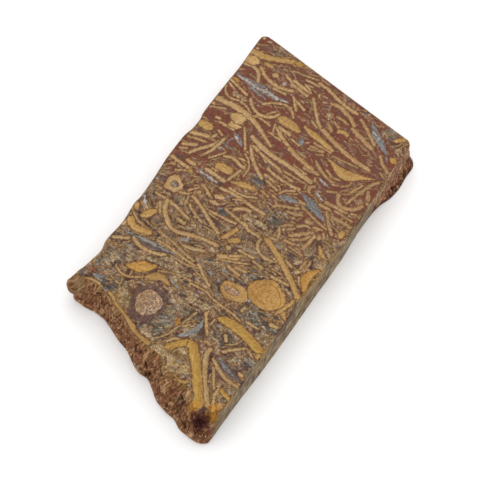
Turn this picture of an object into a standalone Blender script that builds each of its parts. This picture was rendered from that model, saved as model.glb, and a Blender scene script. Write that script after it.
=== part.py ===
"""Sawn slab of mariam jasper, lying on its lower sawn face.

One closed solid in metres, +Z up, with the origin under the middle of its box and +X along the
long front wall. The two broad faces are parallel saw cuts. The front wall and the right wall are
saw cuts too. The left end is natural rind, scalloped, lumpy and pitted, and it leans outwards
towards the base. The back edge is a mild natural break. At the right front corner the saw cut
stops halfway down, above a rough broken ledge.
"""

import math
import random

import bmesh
import bpy
from mathutils import Vector, noise

# Driving dimensions, in millimetres
MM = 0.001
THICKNESS = 10.0          # between the two sawn faces
ARRIS = 0.3               # eased edge of the sawn faces
STEP_SAWN = 2.6           # spacing of wall columns along the saw cuts
STEP_ROUGH = 0.95         # spacing of wall columns along natural stone
LEVELS = 11               # rows of faces down the wall, between the eased edges

# Natural relief, in millimetres
BROAD_LUMP = 0.95         # height of the broad lumps of the rind
BROAD_SIZE = 6.5          # their size
SMALL_LUMP = 0.65         # height of the knobs between them
SMALL_SIZE = 2.4          # their size
PIT_COUNT = 26            # pits scattered over the rind
PIT_RADIUS = (0.9, 1.7)
PIT_DEPTH = (0.5, 1.1)
PIT_SEED = 11
PIT_HEIGHTS = (0.15, 0.8) # shares of the thickness between which they lie
FULLY_ROUGH = 0.5         # roughness from which spacing and single forms are those of the rind
FADE_BELOW_FACE = 0.25    # share of the wall over which relief starts, below the sawn face
FADE_ABOVE_BASE = 0.2     # share of the wall over which it ends, above the base

# Profiles of the wall: the power of the height at which the wall runs from its top edge outwards
SAWN = 1.0                # straight
RIND = 0.62               # a shoulder near the top, then steep
LEDGE = 3.2               # straight down the saw cut, then out over the broken ledge

# The outline, anticlockwise from above. Each row is one column of the wall: x and y of the sawn
# face's edge, x and y of the base's edge, how rough the wall is from 0 to 1, and its profile.
FRONT_WALL = [
    (-47.7, -24.6, -53.6, -24.7, 0.15, SAWN),
    (-44.5, -25.0, -46.5, -24.8, 0.0, SAWN),
    (-38.0, -25.2, -38.5, -25.0, 0.0, SAWN),
    (-30.0, -25.2, -30.0, -25.4, 0.0, SAWN),
    (-22.0, -25.1, -22.0, -25.6, 0.0, SAWN),
    (-14.0, -25.2, -14.0, -25.7, 0.0, SAWN),
    (-7.0, -24.7, -7.0, -25.7, 0.0, SAWN),
    (0.0, -25.2, 0.0, -25.7, 0.0, SAWN),
    (8.0, -25.7, 8.0, -25.8, 0.0, SAWN),
    (16.0, -26.0, 16.0, -25.8, 0.0, SAWN),
    (23.0, -25.9, 23.0, -25.3, 0.0, SAWN),
    (31.0, -25.7, 31.0, -25.3, 0.1, SAWN),
]
BROKEN_CORNER = [
    (36.0, -25.5, 36.4, -25.9, 0.6, LEDGE),
    (40.5, -25.3, 40.5, -27.3, 0.9, LEDGE),
    (45.0, -25.3, 44.8, -27.8, 1.0, LEDGE),
    (49.5, -25.4, 49.5, -27.5, 1.0, LEDGE),
    (53.0, -25.4, 53.2, -27.5, 1.0, LEDGE),
    (54.5, -24.9, 55.2, -26.3, 0.7, LEDGE),
    (55.4, -23.8, 56.2, -24.4, 0.4, LEDGE),
]
RIGHT_WALL = [
    (55.8, -21.5, 56.3, -21.8, 0.1, SAWN),
    (57.2, -12.5, 57.3, -12.5, 0.0, SAWN),
    (60.0, 5.2, 60.1, 5.2, 0.0, SAWN),
    (62.8, 22.5, 62.8, 22.5, 0.0, SAWN),
    (63.9, 29.6, 63.9, 29.6, 0.0, SAWN),
    (63.9, 31.2, 63.8, 31.0, 0.0, SAWN),
    (63.3, 32.3, 63.1, 32.0, 0.1, SAWN),
    (62.0, 32.7, 61.8, 32.4, 0.2, SAWN),
]
BACK_EDGE = [
    (56.0, 32.6, 56.0, 32.1, 0.45, RIND),
    (50.3, 32.4, 50.3, 31.8, 0.45, RIND),
    (40.5, 32.7, 40.5, 32.4, 0.45, RIND),
    (31.0, 32.8, 31.0, 32.0, 0.45, RIND),
    (28.0, 32.3, 28.0, 31.7, 0.45, RIND),
    (24.0, 32.5, 24.0, 31.8, 0.45, RIND),
    (20.5, 33.2, 20.5, 32.5, 0.45, RIND),
    (12.5, 33.3, 12.5, 32.9, 0.45, RIND),
    (8.0, 33.0, 8.0, 32.6, 0.45, RIND),
    (3.0, 32.6, 3.0, 31.9, 0.45, RIND),
    (-3.4, 32.4, -3.4, 31.6, 0.45, RIND),
    (-6.5, 32.7, -6.5, 32.0, 0.45, RIND),
    (-13.5, 32.1, -13.5, 31.7, 0.5, RIND),
    (-20.5, 32.7, -20.5, 32.2, 0.5, RIND),
    (-24.5, 32.0, -24.5, 31.6, 0.5, RIND),
    (-28.0, 32.5, -28.0, 32.2, 0.6, RIND),
    (-31.6, 33.2, -32.0, 33.0, 0.8, RIND),
]
RIND_END = [
    (-33.4, 33.7, -34.8, 34.1, 1.0, RIND),
    (-34.9, 32.6, -37.8, 33.2, 1.0, RIND),
    (-34.5, 29.5, -38.6, 29.3, 1.0, RIND),
    (-34.3, 26.5, -38.4, 25.5, 1.0, RIND),
    (-35.5, 22.5, -38.8, 21.8, 1.0, RIND),
    (-37.2, 18.7, -40.2, 18.5, 1.0, RIND),
    (-38.8, 14.3, -42.0, 14.8, 1.0, RIND),
    (-41.0, 10.6, -43.4, 10.9, 1.0, RIND),
    (-42.1, 6.8, -45.6, 7.4, 1.0, RIND),
    (-42.7, 3.4, -47.4, 4.0, 1.0, RIND),
    (-43.4, -1.0, -47.7, 0.6, 1.0, RIND),
    (-45.6, -4.0, -49.6, -2.2, 1.0, RIND),
    (-46.2, -7.0, -52.0, -5.4, 1.0, RIND),
    (-47.3, -10.2, -53.4, -9.4, 1.0, RIND),
    (-47.0, -12.8, -54.0, -12.6, 1.0, RIND),
    (-48.6, -14.9, -55.6, -15.4, 1.0, RIND),
    (-51.2, -17.0, -56.1, -18.2, 1.0, RIND),
    (-52.4, -19.4, -56.4, -20.6, 1.0, RIND),
    (-50.6, -21.2, -56.2, -22.4, 0.9, RIND),
    (-49.8, -23.2, -55.2, -24.2, 0.6, RIND),
]
COLUMNS = FRONT_WALL + BROKEN_CORNER + RIGHT_WALL + BACK_EDGE + RIND_END

# Single forms that show: x, y, z of the middle, radius and height. A height below 0 is a hollow.
FORMS = [
    (-38.6, 34.2, 7.0, 4.0, 4.2),      # knob at the back left corner
    (-53.8, -21.0, 7.2, 2.1, -2.2),    # dark hollow near the front left corner
    (-51.0, -8.5, 4.0, 3.5, 0.7),      # swell of the rind
    (-46.5, 5.0, 5.0, 3.0, 0.6),       # swell of the rind
    (47.5, -27.4, 2.2, 1.3, -1.3),     # cavity in the broken corner
    (52.8, -27.0, 3.4, 1.2, -1.2),     # cavity in the broken corner
    (42.4, -27.0, 2.0, 1.2, -1.0),     # cavity in the broken corner
]


def catmull_rom(a, b, c, d, t):
    """Value at t of the smooth curve from b to c."""
    return 0.5 * (2.0 * b + (c - a) * t + (2.0 * a - 5.0 * b + 4.0 * c - d) * t * t
                  + (3.0 * b - a - 3.0 * c + d) * t * t * t)


def smooth_columns(rows):
    """The rows with more columns between them, on a smooth closed curve."""
    columns = []
    for index, row in enumerate(rows):
        before = rows[index - 1]
        after = rows[(index + 1) % len(rows)]
        beyond = rows[(index + 2) % len(rows)]
        rough = max(row[4], after[4])
        spacing = STEP_SAWN + (STEP_ROUGH - STEP_SAWN) * min(1.0, rough / FULLY_ROUGH)
        run = max(math.dist(row[:2], after[:2]), math.dist(row[2:4], after[2:4]))
        steps = max(1, round(run / spacing))
        for step in range(steps):
            t = step / steps
            place = [catmull_rom(*values, t)
                     for values in zip(before[:4], row[:4], after[:4], beyond[:4])]
            finish = [row[n] + (after[n] - row[n]) * t for n in (4, 5)]
            columns.append(place + finish)
    return columns


def outward(columns, index):
    """Level direction that leads out of the stone at this column."""
    before = columns[index - 1]
    after = columns[(index + 1) % len(columns)]
    run = Vector((after[0] + after[2] - before[0] - before[2],
                  after[1] + after[3] - before[1] - before[3], 0.0))
    return Vector((run.y, -run.x, 0.0)).normalized()


def scatter_pits(columns):
    """Pits at seeded places on the rind, as rows like those of FORMS."""
    draw = random.Random(PIT_SEED)
    rind = [column for column in columns if column[4] > 0.9 and column[5] < SAWN]
    pits = []
    for _ in range(PIT_COUNT):
        column = draw.choice(rind)
        height = draw.uniform(*PIT_HEIGHTS)
        top, base = Vector(column[0:2]), Vector(column[2:4])
        spot = top.lerp(base, (1.0 - height) ** column[5])
        pits.append((spot.x, spot.y, height * THICKNESS,
                     draw.uniform(*PIT_RADIUS), -draw.uniform(*PIT_DEPTH)))
    return pits


def relief(spot, forms):
    """Height of the natural surface over the plain wall, and of the single forms near it."""
    bumps = BROAD_LUMP * noise.noise(spot / BROAD_SIZE)
    bumps += SMALL_LUMP * noise.noise(spot / SMALL_SIZE)
    single = 0.0
    for x, y, z, radius, height in forms:
        gap = (spot - Vector((x, y, z))).length / radius
        single += height * math.exp(-gap * gap)
    return bumps, single


def wall_ring(columns, drop, forms):
    """One level loop of the wall, at a share of the way down from the sawn face."""
    ring = []
    for index, (top_x, top_y, base_x, base_y, rough, profile) in enumerate(columns):
        reach = drop ** profile
        spot = Vector((top_x, top_y, 0.0)).lerp(Vector((base_x, base_y, 0.0)), reach)
        spot.z = ARRIS + (THICKNESS - 2.0 * ARRIS) * (1.0 - drop)
        bumps, single = relief(spot, forms)
        fade = min(1.0, drop / FADE_BELOW_FACE, (1.0 - drop) / FADE_ABOVE_BASE)
        below_saw_cut = reach if profile > SAWN else 1.0
        push = rough * below_saw_cut * bumps + min(1.0, rough / FULLY_ROUGH) * single
        spot += outward(columns, index) * push * fade
        ring.append(spot)
    return ring


def inset_ring(columns, ring, height):
    """The edge of a sawn face: a wall loop drawn in by the eased edge."""
    return [spot - outward(columns, index) * ARRIS + Vector((0.0, 0.0, height - spot.z))
            for index, spot in enumerate(ring)]


def slab_rings():
    """All level loops of the slab, from the base up to the upper sawn face, origin not yet set."""
    columns = smooth_columns(COLUMNS)
    forms = FORMS + scatter_pits(columns)
    wall = [wall_ring(columns, level / LEVELS, forms) for level in range(LEVELS, -1, -1)]
    base = inset_ring(columns, wall[0], 0.0)
    face = inset_ring(columns, wall[-1], THICKNESS)
    return [base] + wall + [face]


def centred(rings):
    """The loops in metres, moved so that the middle of the base of their box is the origin."""
    spots = [spot for ring in rings for spot in ring]
    middle = Vector((
        (min(s.x for s in spots) + max(s.x for s in spots)) / 2.0,
        (min(s.y for s in spots) + max(s.y for s in spots)) / 2.0,
        0.0,
    ))
    return [[(spot - middle) * MM for spot in ring] for ring in rings]


def stone_material():
    """Brown jasper with a satin saw cut."""
    material = bpy.data.materials.new("jasper")
    material.use_nodes = True
    shader = material.node_tree.nodes["Principled BSDF"]
    shader.inputs["Base Color"].default_value = (0.23, 0.135, 0.075, 1.0)
    shader.inputs["Roughness"].default_value = 0.48
    shader.inputs["Metallic"].default_value = 0.0
    return material


def build_slab():
    """The slab as one closed mesh: loops joined by walls, and a flat face at each end."""
    rings = centred(slab_rings())
    bm = bmesh.new()
    loops = [[bm.verts.new(spot) for spot in ring] for ring in rings]
    for lower, upper in zip(loops, loops[1:]):
        for index in range(len(lower)):
            after = (index + 1) % len(lower)
            bm.faces.new((lower[index], lower[after], upper[after], upper[index]))
    bm.faces.new(list(reversed(loops[0])))
    bm.faces.new(loops[-1])
    bmesh.ops.triangulate(bm, faces=bm.faces[:], quad_method="SHORT_EDGE", ngon_method="BEAUTY")
    bmesh.ops.recalc_face_normals(bm, faces=bm.faces[:])
    mesh = bpy.data.meshes.new("mariam_jasper_slab")
    bm.to_mesh(mesh)
    bm.free()
    mesh.materials.append(stone_material())
    slab = bpy.data.objects.new("mariam_jasper_slab", mesh)
    bpy.context.scene.collection.objects.link(slab)
    return slab


for old in list(bpy.data.objects):
    bpy.data.objects.remove(old, do_unlink=True)

build_slab()
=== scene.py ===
# %% [markdown]
# # A sawn slab of mariam jasper
#
# The stone is a bed of plant debris turned to jasper: ochre and tan strips of stems and leaves,
# each with a thin brown rim, lie crossed in a red-brown matrix with a few blue-grey lenses of
# chalcedony. A saw has cut it into a slab, so the strips show as flat shapes in a flat face.
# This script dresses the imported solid. It is the only thing that it reads.

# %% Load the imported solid
import math
import random

import bmesh
import bpy
import numpy as np
from mathutils import Matrix, Vector, noise
from mathutils.geometry import delaunay_2d_cdt
from mathutils.kdtree import KDTree


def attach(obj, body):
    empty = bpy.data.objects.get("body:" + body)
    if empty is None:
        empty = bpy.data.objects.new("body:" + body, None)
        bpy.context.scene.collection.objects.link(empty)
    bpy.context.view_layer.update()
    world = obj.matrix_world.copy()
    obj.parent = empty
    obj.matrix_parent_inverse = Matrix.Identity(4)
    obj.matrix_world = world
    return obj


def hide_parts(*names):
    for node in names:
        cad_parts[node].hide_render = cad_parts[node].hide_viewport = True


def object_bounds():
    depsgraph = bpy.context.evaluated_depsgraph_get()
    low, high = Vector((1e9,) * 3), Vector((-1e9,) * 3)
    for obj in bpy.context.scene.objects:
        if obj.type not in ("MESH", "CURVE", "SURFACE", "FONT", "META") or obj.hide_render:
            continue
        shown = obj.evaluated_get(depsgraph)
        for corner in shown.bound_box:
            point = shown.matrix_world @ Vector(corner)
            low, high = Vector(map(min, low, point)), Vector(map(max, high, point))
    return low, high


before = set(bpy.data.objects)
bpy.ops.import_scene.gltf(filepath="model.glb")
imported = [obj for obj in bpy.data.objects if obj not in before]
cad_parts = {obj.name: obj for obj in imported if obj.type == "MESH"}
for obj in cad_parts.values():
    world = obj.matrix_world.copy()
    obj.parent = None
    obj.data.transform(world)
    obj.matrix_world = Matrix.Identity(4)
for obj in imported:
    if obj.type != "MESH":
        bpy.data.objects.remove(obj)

cad_low, cad_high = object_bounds()

# %% [markdown]
# ## Millimetres and the place of the slab
#
# Everything on the slab is read in millimetres from a photograph taken at a slant, along the long
# sawn wall and square to it. Two edges that the outline states outright, the right end and the
# foot of the broken ledge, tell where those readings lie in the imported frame.

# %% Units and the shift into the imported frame
MM = 0.001
THICKNESS = 10.0          # between the two sawn faces
ARRIS = 0.3               # eased edge of the sawn faces
RIGHT_END = 63.9          # x of the straight right end in the readings
LEDGE_FOOT = -27.8        # y of the foot of the broken ledge in the readings
SHIFT = Vector((cad_high[0] / MM - RIGHT_END, cad_low[1] / MM - LEDGE_FOOT, 0.0))


def place(spot):
    """A reading in millimetres as a point of the frame in metres."""
    return (Vector(spot) + SHIFT) * MM


print("shift of the readings in mm", [round(v, 2) for v in SHIFT])

# %% [markdown]
# ## The outline
#
# Each row is one column of the wall, anticlockwise from above: the edge of the sawn face, the edge
# of the base, and how rough the wall is. Each wall has its own profile. A saw cut is straight. The
# rind has a shoulder near the top. The ledge runs down the saw cut and then out. A smooth closed
# curve through the rows gives as many columns as the surface needs, so the list stays short.

# %% Rows of the outline, the same as in the solid
SAWN, RIND, LEDGE = 1.0, 0.62, 3.2   # profiles: straight, with a shoulder, and down and then out
FRONT_WALL = [
    (-47.7, -24.6, -53.6, -24.7, 0.15), (-44.5, -25, -46.5, -24.8, 0), (-38, -25.2, -38.5, -25, 0),
    (-30, -25.2, -30, -25.4, 0), (-22, -25.1, -22, -25.6, 0), (-14, -25.2, -14, -25.7, 0),
    (-7, -24.7, -7, -25.7, 0), (0, -25.2, 0, -25.7, 0), (8, -25.7, 8, -25.8, 0), (16, -26, 16, -25.8, 0),
    (23, -25.9, 23, -25.3, 0), (31, -25.7, 31, -25.3, 0.1),
]
BROKEN_CORNER = [
    (36, -25.5, 36.4, -25.9, 0.6), (40.5, -25.3, 40.5, -27.3, 0.9), (45, -25.3, 44.8, -27.8, 1),
    (49.5, -25.4, 49.5, -27.5, 1), (53, -25.4, 53.2, -27.5, 1), (54.5, -24.9, 55.2, -26.3, 0.7),
    (55.4, -23.8, 56.2, -24.4, 0.4),
]
RIGHT_WALL = [
    (55.8, -21.5, 56.3, -21.8, 0.1), (57.2, -12.5, 57.3, -12.5, 0), (60, 5.2, 60.1, 5.2, 0),
    (62.8, 22.5, 62.8, 22.5, 0), (63.9, 29.6, 63.9, 29.6, 0), (63.9, 31.2, 63.8, 31, 0),
    (63.3, 32.3, 63.1, 32, 0.1), (62, 32.7, 61.8, 32.4, 0.2),
]
BACK_EDGE = [
    (56, 32.6, 56, 32.1, 0.45), (50.3, 32.4, 50.3, 31.8, 0.45), (40.5, 32.7, 40.5, 32.4, 0.45),
    (31, 32.8, 31, 32, 0.45), (28, 32.3, 28, 31.7, 0.45), (24, 32.5, 24, 31.8, 0.45),
    (20.5, 33.2, 20.5, 32.5, 0.45), (12.5, 33.3, 12.5, 32.9, 0.45), (8, 33, 8, 32.6, 0.45),
    (3, 32.6, 3, 31.9, 0.45), (-3.4, 32.4, -3.4, 31.6, 0.45), (-6.5, 32.7, -6.5, 32, 0.45),
    (-13.5, 32.1, -13.5, 31.7, 0.5), (-20.5, 32.7, -20.5, 32.2, 0.5), (-24.5, 32, -24.5, 31.6, 0.5),
    (-28, 32.5, -28, 32.2, 0.6), (-31.6, 33.2, -32, 33, 0.8),
]
RIND_END = [
    (-33.4, 33.7, -34.8, 34.1, 1), (-34.9, 32.6, -37.8, 33.2, 1), (-34.5, 29.5, -38.6, 29.3, 1),
    (-34.3, 26.5, -38.4, 25.5, 1), (-35.5, 22.5, -38.8, 21.8, 1), (-37.2, 18.7, -40.2, 18.5, 1),
    (-38.8, 14.3, -42, 14.8, 1), (-41, 10.6, -43.4, 10.9, 1), (-42.1, 6.8, -45.6, 7.4, 1),
    (-42.7, 3.4, -47.4, 4, 1), (-43.4, -1, -47.7, 0.6, 1), (-45.6, -4, -49.6, -2.2, 1),
    (-46.2, -7, -52, -5.4, 1), (-47.3, -10.2, -53.4, -9.4, 1), (-47, -12.8, -54, -12.6, 1),
    (-48.6, -14.9, -55.6, -15.4, 1), (-51.2, -17, -56.1, -18.2, 1), (-52.4, -19.4, -56.4, -20.6, 1),
    (-50.6, -21.2, -56.2, -22.4, 0.9), (-49.8, -23.2, -55.2, -24.2, 0.6),
]
WALLS = ((SAWN, FRONT_WALL), (LEDGE, BROKEN_CORNER), (SAWN, RIGHT_WALL), (RIND, BACK_EDGE + RIND_END))
ROWS = [(*row, profile) for profile, wall in WALLS for row in wall]
print(len(ROWS), "rows round the slab")

# %% A smooth closed curve through the rows
SOLID_SPACING = (2.6, 0.95)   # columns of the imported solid, on saw cuts and on rind
FINE_SPACING = (0.7, 0.26)    # columns of the dressed stone
FULLY_ROUGH = 0.5             # roughness from which spacing and single forms are those of rind


def catmull_rom(a, b, c, d, t):
    """Value at t of the smooth curve from b to c."""
    return 0.5 * (2.0 * b + (c - a) * t + (2.0 * a - 5.0 * b + 4.0 * c - d) * t * t
                  + (3.0 * b - a - 3.0 * c + d) * t * t * t)


def smooth_columns(rows, spacing):
    """The rows with more columns between them."""
    columns = []
    for index, row in enumerate(rows):
        before = rows[index - 1]
        after = rows[(index + 1) % len(rows)]
        beyond = rows[(index + 2) % len(rows)]
        rough = max(row[4], after[4])
        gap = spacing[0] + (spacing[1] - spacing[0]) * min(1.0, rough / FULLY_ROUGH)
        run = max(math.dist(row[:2], after[:2]), math.dist(row[2:4], after[2:4]))
        steps = max(1, round(run / gap))
        for step in range(steps):
            t = step / steps
            column = [catmull_rom(*values, t)
                      for values in zip(before[:4], row[:4], after[:4], beyond[:4])]
            column += [row[n] + (after[n] - row[n]) * t for n in (4, 5)]
            columns.append(column)
    return columns


def outward(columns, index):
    """Level direction that leads out of the stone at this column."""
    before = columns[index - 1]
    after = columns[(index + 1) % len(columns)]
    run = Vector((after[0] + after[2] - before[0] - before[2],
                  after[1] + after[3] - before[1] - before[3], 0.0))
    return Vector((run.y, -run.x, 0.0)).normalized()


columns = smooth_columns(ROWS, FINE_SPACING)
print(len(columns), "columns of wall")

# %% [markdown]
# ## Relief of the broken stone
#
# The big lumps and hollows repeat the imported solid's formula, with the same seed, so the dressed
# stone never leaves it. Finer relief comes later, from nodes.

# %% Lumps, hollows and pits
BROAD_LUMP, BROAD_SIZE = 0.95, 6.5
SMALL_LUMP, SMALL_SIZE = 0.65, 2.4
PIT_COUNT, PIT_SEED = 26, 11
PIT_RADIUS, PIT_DEPTH, PIT_HEIGHTS = (0.9, 1.7), (0.5, 1.1), (0.15, 0.8)
FADE_BELOW_FACE, FADE_ABOVE_BASE = 0.25, 0.2
FORMS = [                             # x, y, z, radius, height; a hollow is below 0
    (-38.6, 34.2, 7.0, 4.0, 4.2),     # knob at the back left corner
    # the hollow below is also darkened with painted shade in the finishes of the wall, the stubs and the
    # upper face
    (-53.8, -21.0, 7.2, 2.1, -2.2),   # dark hollow near the front left corner
    (-51.0, -8.5, 4.0, 3.5, 0.7),     # swell of the rind
    (-46.5, 5.0, 5.0, 3.0, 0.6),      # swell of the rind
    (47.5, -27.4, 2.2, 1.3, -1.3),    # cavity in the broken corner
    (52.8, -27.0, 3.4, 1.2, -1.2),    # cavity in the broken corner
    (42.4, -27.0, 2.0, 1.2, -1.0),    # cavity in the broken corner
]


def scatter_pits():
    """Pits at seeded places on the rind, as rows like those of FORMS."""
    draw = random.Random(PIT_SEED)
    solid_columns = smooth_columns(ROWS, SOLID_SPACING)
    rind = [column for column in solid_columns if column[4] > 0.9 and column[5] < SAWN]
    pits = []
    for _ in range(PIT_COUNT):
        column = draw.choice(rind)
        height = draw.uniform(*PIT_HEIGHTS)
        spot = Vector(column[0:2]).lerp(Vector(column[2:4]), (1.0 - height) ** column[5])
        pits.append((spot.x, spot.y, height * THICKNESS,
                     draw.uniform(*PIT_RADIUS), -draw.uniform(*PIT_DEPTH)))
    return pits


forms = FORMS + scatter_pits()


def relief(spot):
    """Height of the lumps, and of the single forms, over the plain wall."""
    lumps = BROAD_LUMP * noise.noise(spot / BROAD_SIZE) + SMALL_LUMP * noise.noise(spot / SMALL_SIZE)
    single = 0.0
    for x, y, z, radius, height in forms:
        gap = (spot - Vector((x, y, z))).length / radius
        if gap < 3.0:
            single += height * math.exp(-gap * gap)
    return lumps, single


print(len(forms), "single forms")

# %% Level loops of the wall
LEVELS = 31               # rows of faces between the eased edges
PIT_LONG, PIT_WIDE = 1.7, 0.9   # small pits of the crust, longer down the wall than across
PITTING, GRAINS = 1.1, 0.35     # how deep the small pits are, and how high the grains
FADE_OF_PITS = 0.08


def crust_relief(along, height):
    """Small pits and grains of the crust, drawn out aslant."""
    slant = along + 0.5 * height
    pits = noise.noise(Vector((slant / PIT_WIDE, height / PIT_LONG, 5.0)))
    grains = noise.noise(Vector((slant / PIT_WIDE, height / PIT_LONG, 9.0)) * 1.7)
    return PITTING * min(0.0, pits + 0.1) + GRAINS * grains


def wall_loop(drop):
    """One level loop of the wall, at a share of the way down: its spots and their small relief."""
    loop, reliefs = [], []
    along = 0.0
    for index, (top_x, top_y, base_x, base_y, rough, profile) in enumerate(columns):
        reach = drop ** profile
        spot = Vector((top_x, top_y, 0.0)).lerp(Vector((base_x, base_y, 0.0)), reach)
        spot.z = ARRIS + (THICKNESS - 2.0 * ARRIS) * (1.0 - drop)
        lumps, single = relief(spot)
        fade = min(1.0, drop / FADE_BELOW_FACE, (1.0 - drop) / FADE_ABOVE_BASE)
        below_saw_cut = reach if profile > SAWN else 1.0
        push = rough * below_saw_cut * lumps + min(1.0, rough / FULLY_ROUGH) * single
        small = crust_relief(along, spot.z) * min(1.0, rough / FULLY_ROUGH) * below_saw_cut
        small *= min(1.0, drop / FADE_OF_PITS, (1.0 - drop) / FADE_OF_PITS)
        spot += outward(columns, index) * (push * fade + small)
        loop.append(spot)
        # the small relief, which the wall's finish turns into painted shade in pits and a painted highlight
        # on grains
        reliefs.append(small + min(0.0, single * fade) * 0.3)
        following = columns[(index + 1) % len(columns)]
        along += math.dist((top_x, top_y), following[:2])
    return loop, reliefs


def drawn_in(loop, height):
    """The edge of a sawn face: a wall loop drawn in by the eased edge."""
    return [spot - outward(columns, index) * ARRIS + Vector((0.0, 0.0, height - spot.z))
            for index, spot in enumerate(loop)]


wall_loops = [wall_loop(level / LEVELS) for level in range(LEVELS, -1, -1)]
base_edge = drawn_in(wall_loops[0][0], 0.0)
face_edge = drawn_in(wall_loops[-1][0], THICKNESS)
print("wall of", len(wall_loops), "loops")

# %% [markdown]
# ## The strips of stem and leaf
#
# On the real stone each strip is a stem, a blade or a twig, cut through by the saw, so it is a flat
# shape inside the face and nothing stands up. It could be a painted picture, but a picture blurs
# close up. Here each strip is an outline drawn by a smooth middle line and a width, and later the
# face's mesh is cut along these outlines, so every edge stays sharp at any distance.

# %% Colours of the stone
LIGHT_ON_FACE = 1.31      # how much brighter than its own colour the face looks in this light
HAZE = 0.028              # white that the gloss of the face adds


def shade(red, green, blue):
    """A colour as seen, in steps of 255, as the linear colour of the stone."""
    seen = [((step / 255.0 + 0.055) / 1.055) ** 2.4 for step in (red, green, blue)]
    return tuple(max(0.002, (value - HAZE) / LIGHT_ON_FACE) for value in seen)


FILLINGS = [              # name, colour as seen, how much of it covers the ground, how much it varies
    ("tan", 186, 154, 110, 1, 0.07), ("stem", 192, 157, 113, 1, 0.035), ("twig", 180, 144, 104, 1, 0.05),
    ("ochre", 186, 148, 94, 1, 0.05), ("light", 202, 164, 112, 1, 0.05),
    ("dull", 162, 134, 102, 0.95, 0.09), ("pink", 180, 143, 110, 1, 0.03),
    ("orange", 192, 146, 80, 1, 0.04), ("disc", 190, 147, 88, 1, 0.02), ("gold", 184, 146, 80, 1, 0.02),
    ("seam", 160, 114, 62, 1, 0.02), ("ghost", 154, 118, 90, 0.64, 0.08),
    ("mottled", 168, 142, 106, 0.7, 0.08), ("stain", 178, 122, 46, 0.6, 0.06),
    ("blue", 136, 136, 133, 0.79, 0.05), ("pale", 176, 170, 160, 0.76, 0.05),
    ("dark", 98, 90, 88, 0.62, 0.06), ("red", 150, 88, 62, 0.6, 0.08), ("core", 176, 144, 115, 0.8, 0.03),
    ("ash", 144, 132, 116, 0.74, 0.03), ("bark", 108, 84, 76, 0.66, 0.03),
]
KINDS = {name: (shade(*seen), cover, spread) for name, *seen, cover, spread in FILLINGS}
RIMLESS = ("seam",)               # thin seams inside a stem, so no rim of their own
SPECKLED = ("core", "mottled", "ash")
CUT_ACROSS = ("disc", "light")    # grain without streaks
print(len(KINDS), "kinds of filling")

# %% One strip, and one round chip
RIM = 0.3                 # the soft brown rim of a strip
SWAY, SWAY_SIZE = 0.26, 2.2       # how much the width of a strip wanders, and over what length
FRAY, FRAY_SIZE = 0.18, 0.5       # how ragged its edges are, and how finely
LINE_GAP = 0.42           # least spacing of the points of a middle line
FEWEST = 3.1              # fields of the shortest line
LEAF_SHAPE, LEAF_TIP = 0.75, 0.06   # how a leaf narrows, and the share left at its tips
BLUNT = 0.72              # share of the width at a broken end
strips = []


def smooth_line(points, gap):
    """Points about gap apart on a smooth open curve through the given ones."""
    ends = [points[0]] + points + [points[-1]]
    line = []
    for a, b, c, d in zip(ends, ends[1:], ends[2:], ends[3:]):
        steps = max(1, round(math.dist(b, c) / gap))
        line += [tuple(catmull_rom(*values, step / steps) for values in zip(a, b, c, d))
                 for step in range(steps)]
    return np.array(line + [points[-1]])


def wander(spots, size, seed):
    """A smooth random value at each spot of the face."""
    return np.array([noise.noise(Vector((x / size, y / size, seed))) for x, y in spots])


def add_strip(kind, widths, points, pointed=False):
    """A strip along a smooth line, with broken ends, or with pointed ends as of a leaf."""
    widths = widths if isinstance(widths, tuple) else (widths, widths)
    line = smooth_line(points, max(LINE_GAP, 0.45 * min(1.5, max(widths))))
    if len(line) < 4:
        line = smooth_line(points, math.dist(points[0], points[-1]) / FEWEST)
    along = np.concatenate([[0.0], np.cumsum(np.linalg.norm(np.diff(line, axis=0), axis=1))])
    share = along / along[-1]
    half = 0.5 * np.interp(share, np.linspace(0.0, 1.0, len(widths)), widths)
    if pointed:
        half *= np.clip(np.sin(math.pi * share) ** LEAF_SHAPE, LEAF_TIP, 1.0)
    else:
        half *= np.clip(BLUNT + np.minimum(along, along[-1] - along) / max(widths), 0.0, 1.0)
    run = np.gradient(line, axis=0)
    run /= np.linalg.norm(run, axis=1)[:, None]
    side = np.stack([run[:, 1], -run[:, 0]], axis=1)
    fray = FRAY * min(1.0, max(widths))
    rim = 0.0 if kind in RIMLESS else RIM
    right, left = [half * (1.0 + SWAY * wander(line, SWAY_SIZE, seed)) + rim
                   + fray * wander(line, FRAY_SIZE, seed) for seed in (3.0, 8.0)]
    start, end = [cap * max(widths) * 0.5 for cap in 0.25 + 0.7 * wander(line[[0, -1]], 0.7, 5.0)]
    outline = np.concatenate([line + side * right[:, None], [line[-1] + run[-1] * (end + RIM)],
                              (line - side * left[:, None])[::-1], [line[0] - run[0] * (start + RIM)]])
    strips.append({"kind": kind, "outline": outline, "line": line})


print("strips have a rim of", RIM, "mm")

# %% One round chip, and strips from rows
def add_round(kind, x, y, reach_x, reach_y, turn=0.0, lobes=0.16):
    """A round chip, such as a stem cut straight across."""
    steps = max(12, round(2.4 * (reach_x + reach_y)) + 10)
    outline = []
    for step in range(steps):
        angle = math.tau * step / steps
        ray = Vector((math.cos(angle), math.sin(angle), 0.0))
        swell = 1.0 + lobes * noise.noise(Vector((x, y, 0.0)) + 1.5 * ray)
        swell += 0.5 * lobes * noise.noise(Vector((x, y, 4.0)) + 4.0 * ray)
        u, v = (reach_x * swell + RIM) * ray.x, (reach_y * swell + RIM) * ray.y
        outline.append((x + u * math.cos(turn) - v * math.sin(turn),
                        y + u * math.sin(turn) + v * math.cos(turn)))
    line = np.array([(x - 0.3 * reach_x, y), (x, y), (x + 0.3 * reach_x, y)])
    strips.append({"kind": kind, "outline": np.array(outline), "line": line})


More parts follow.
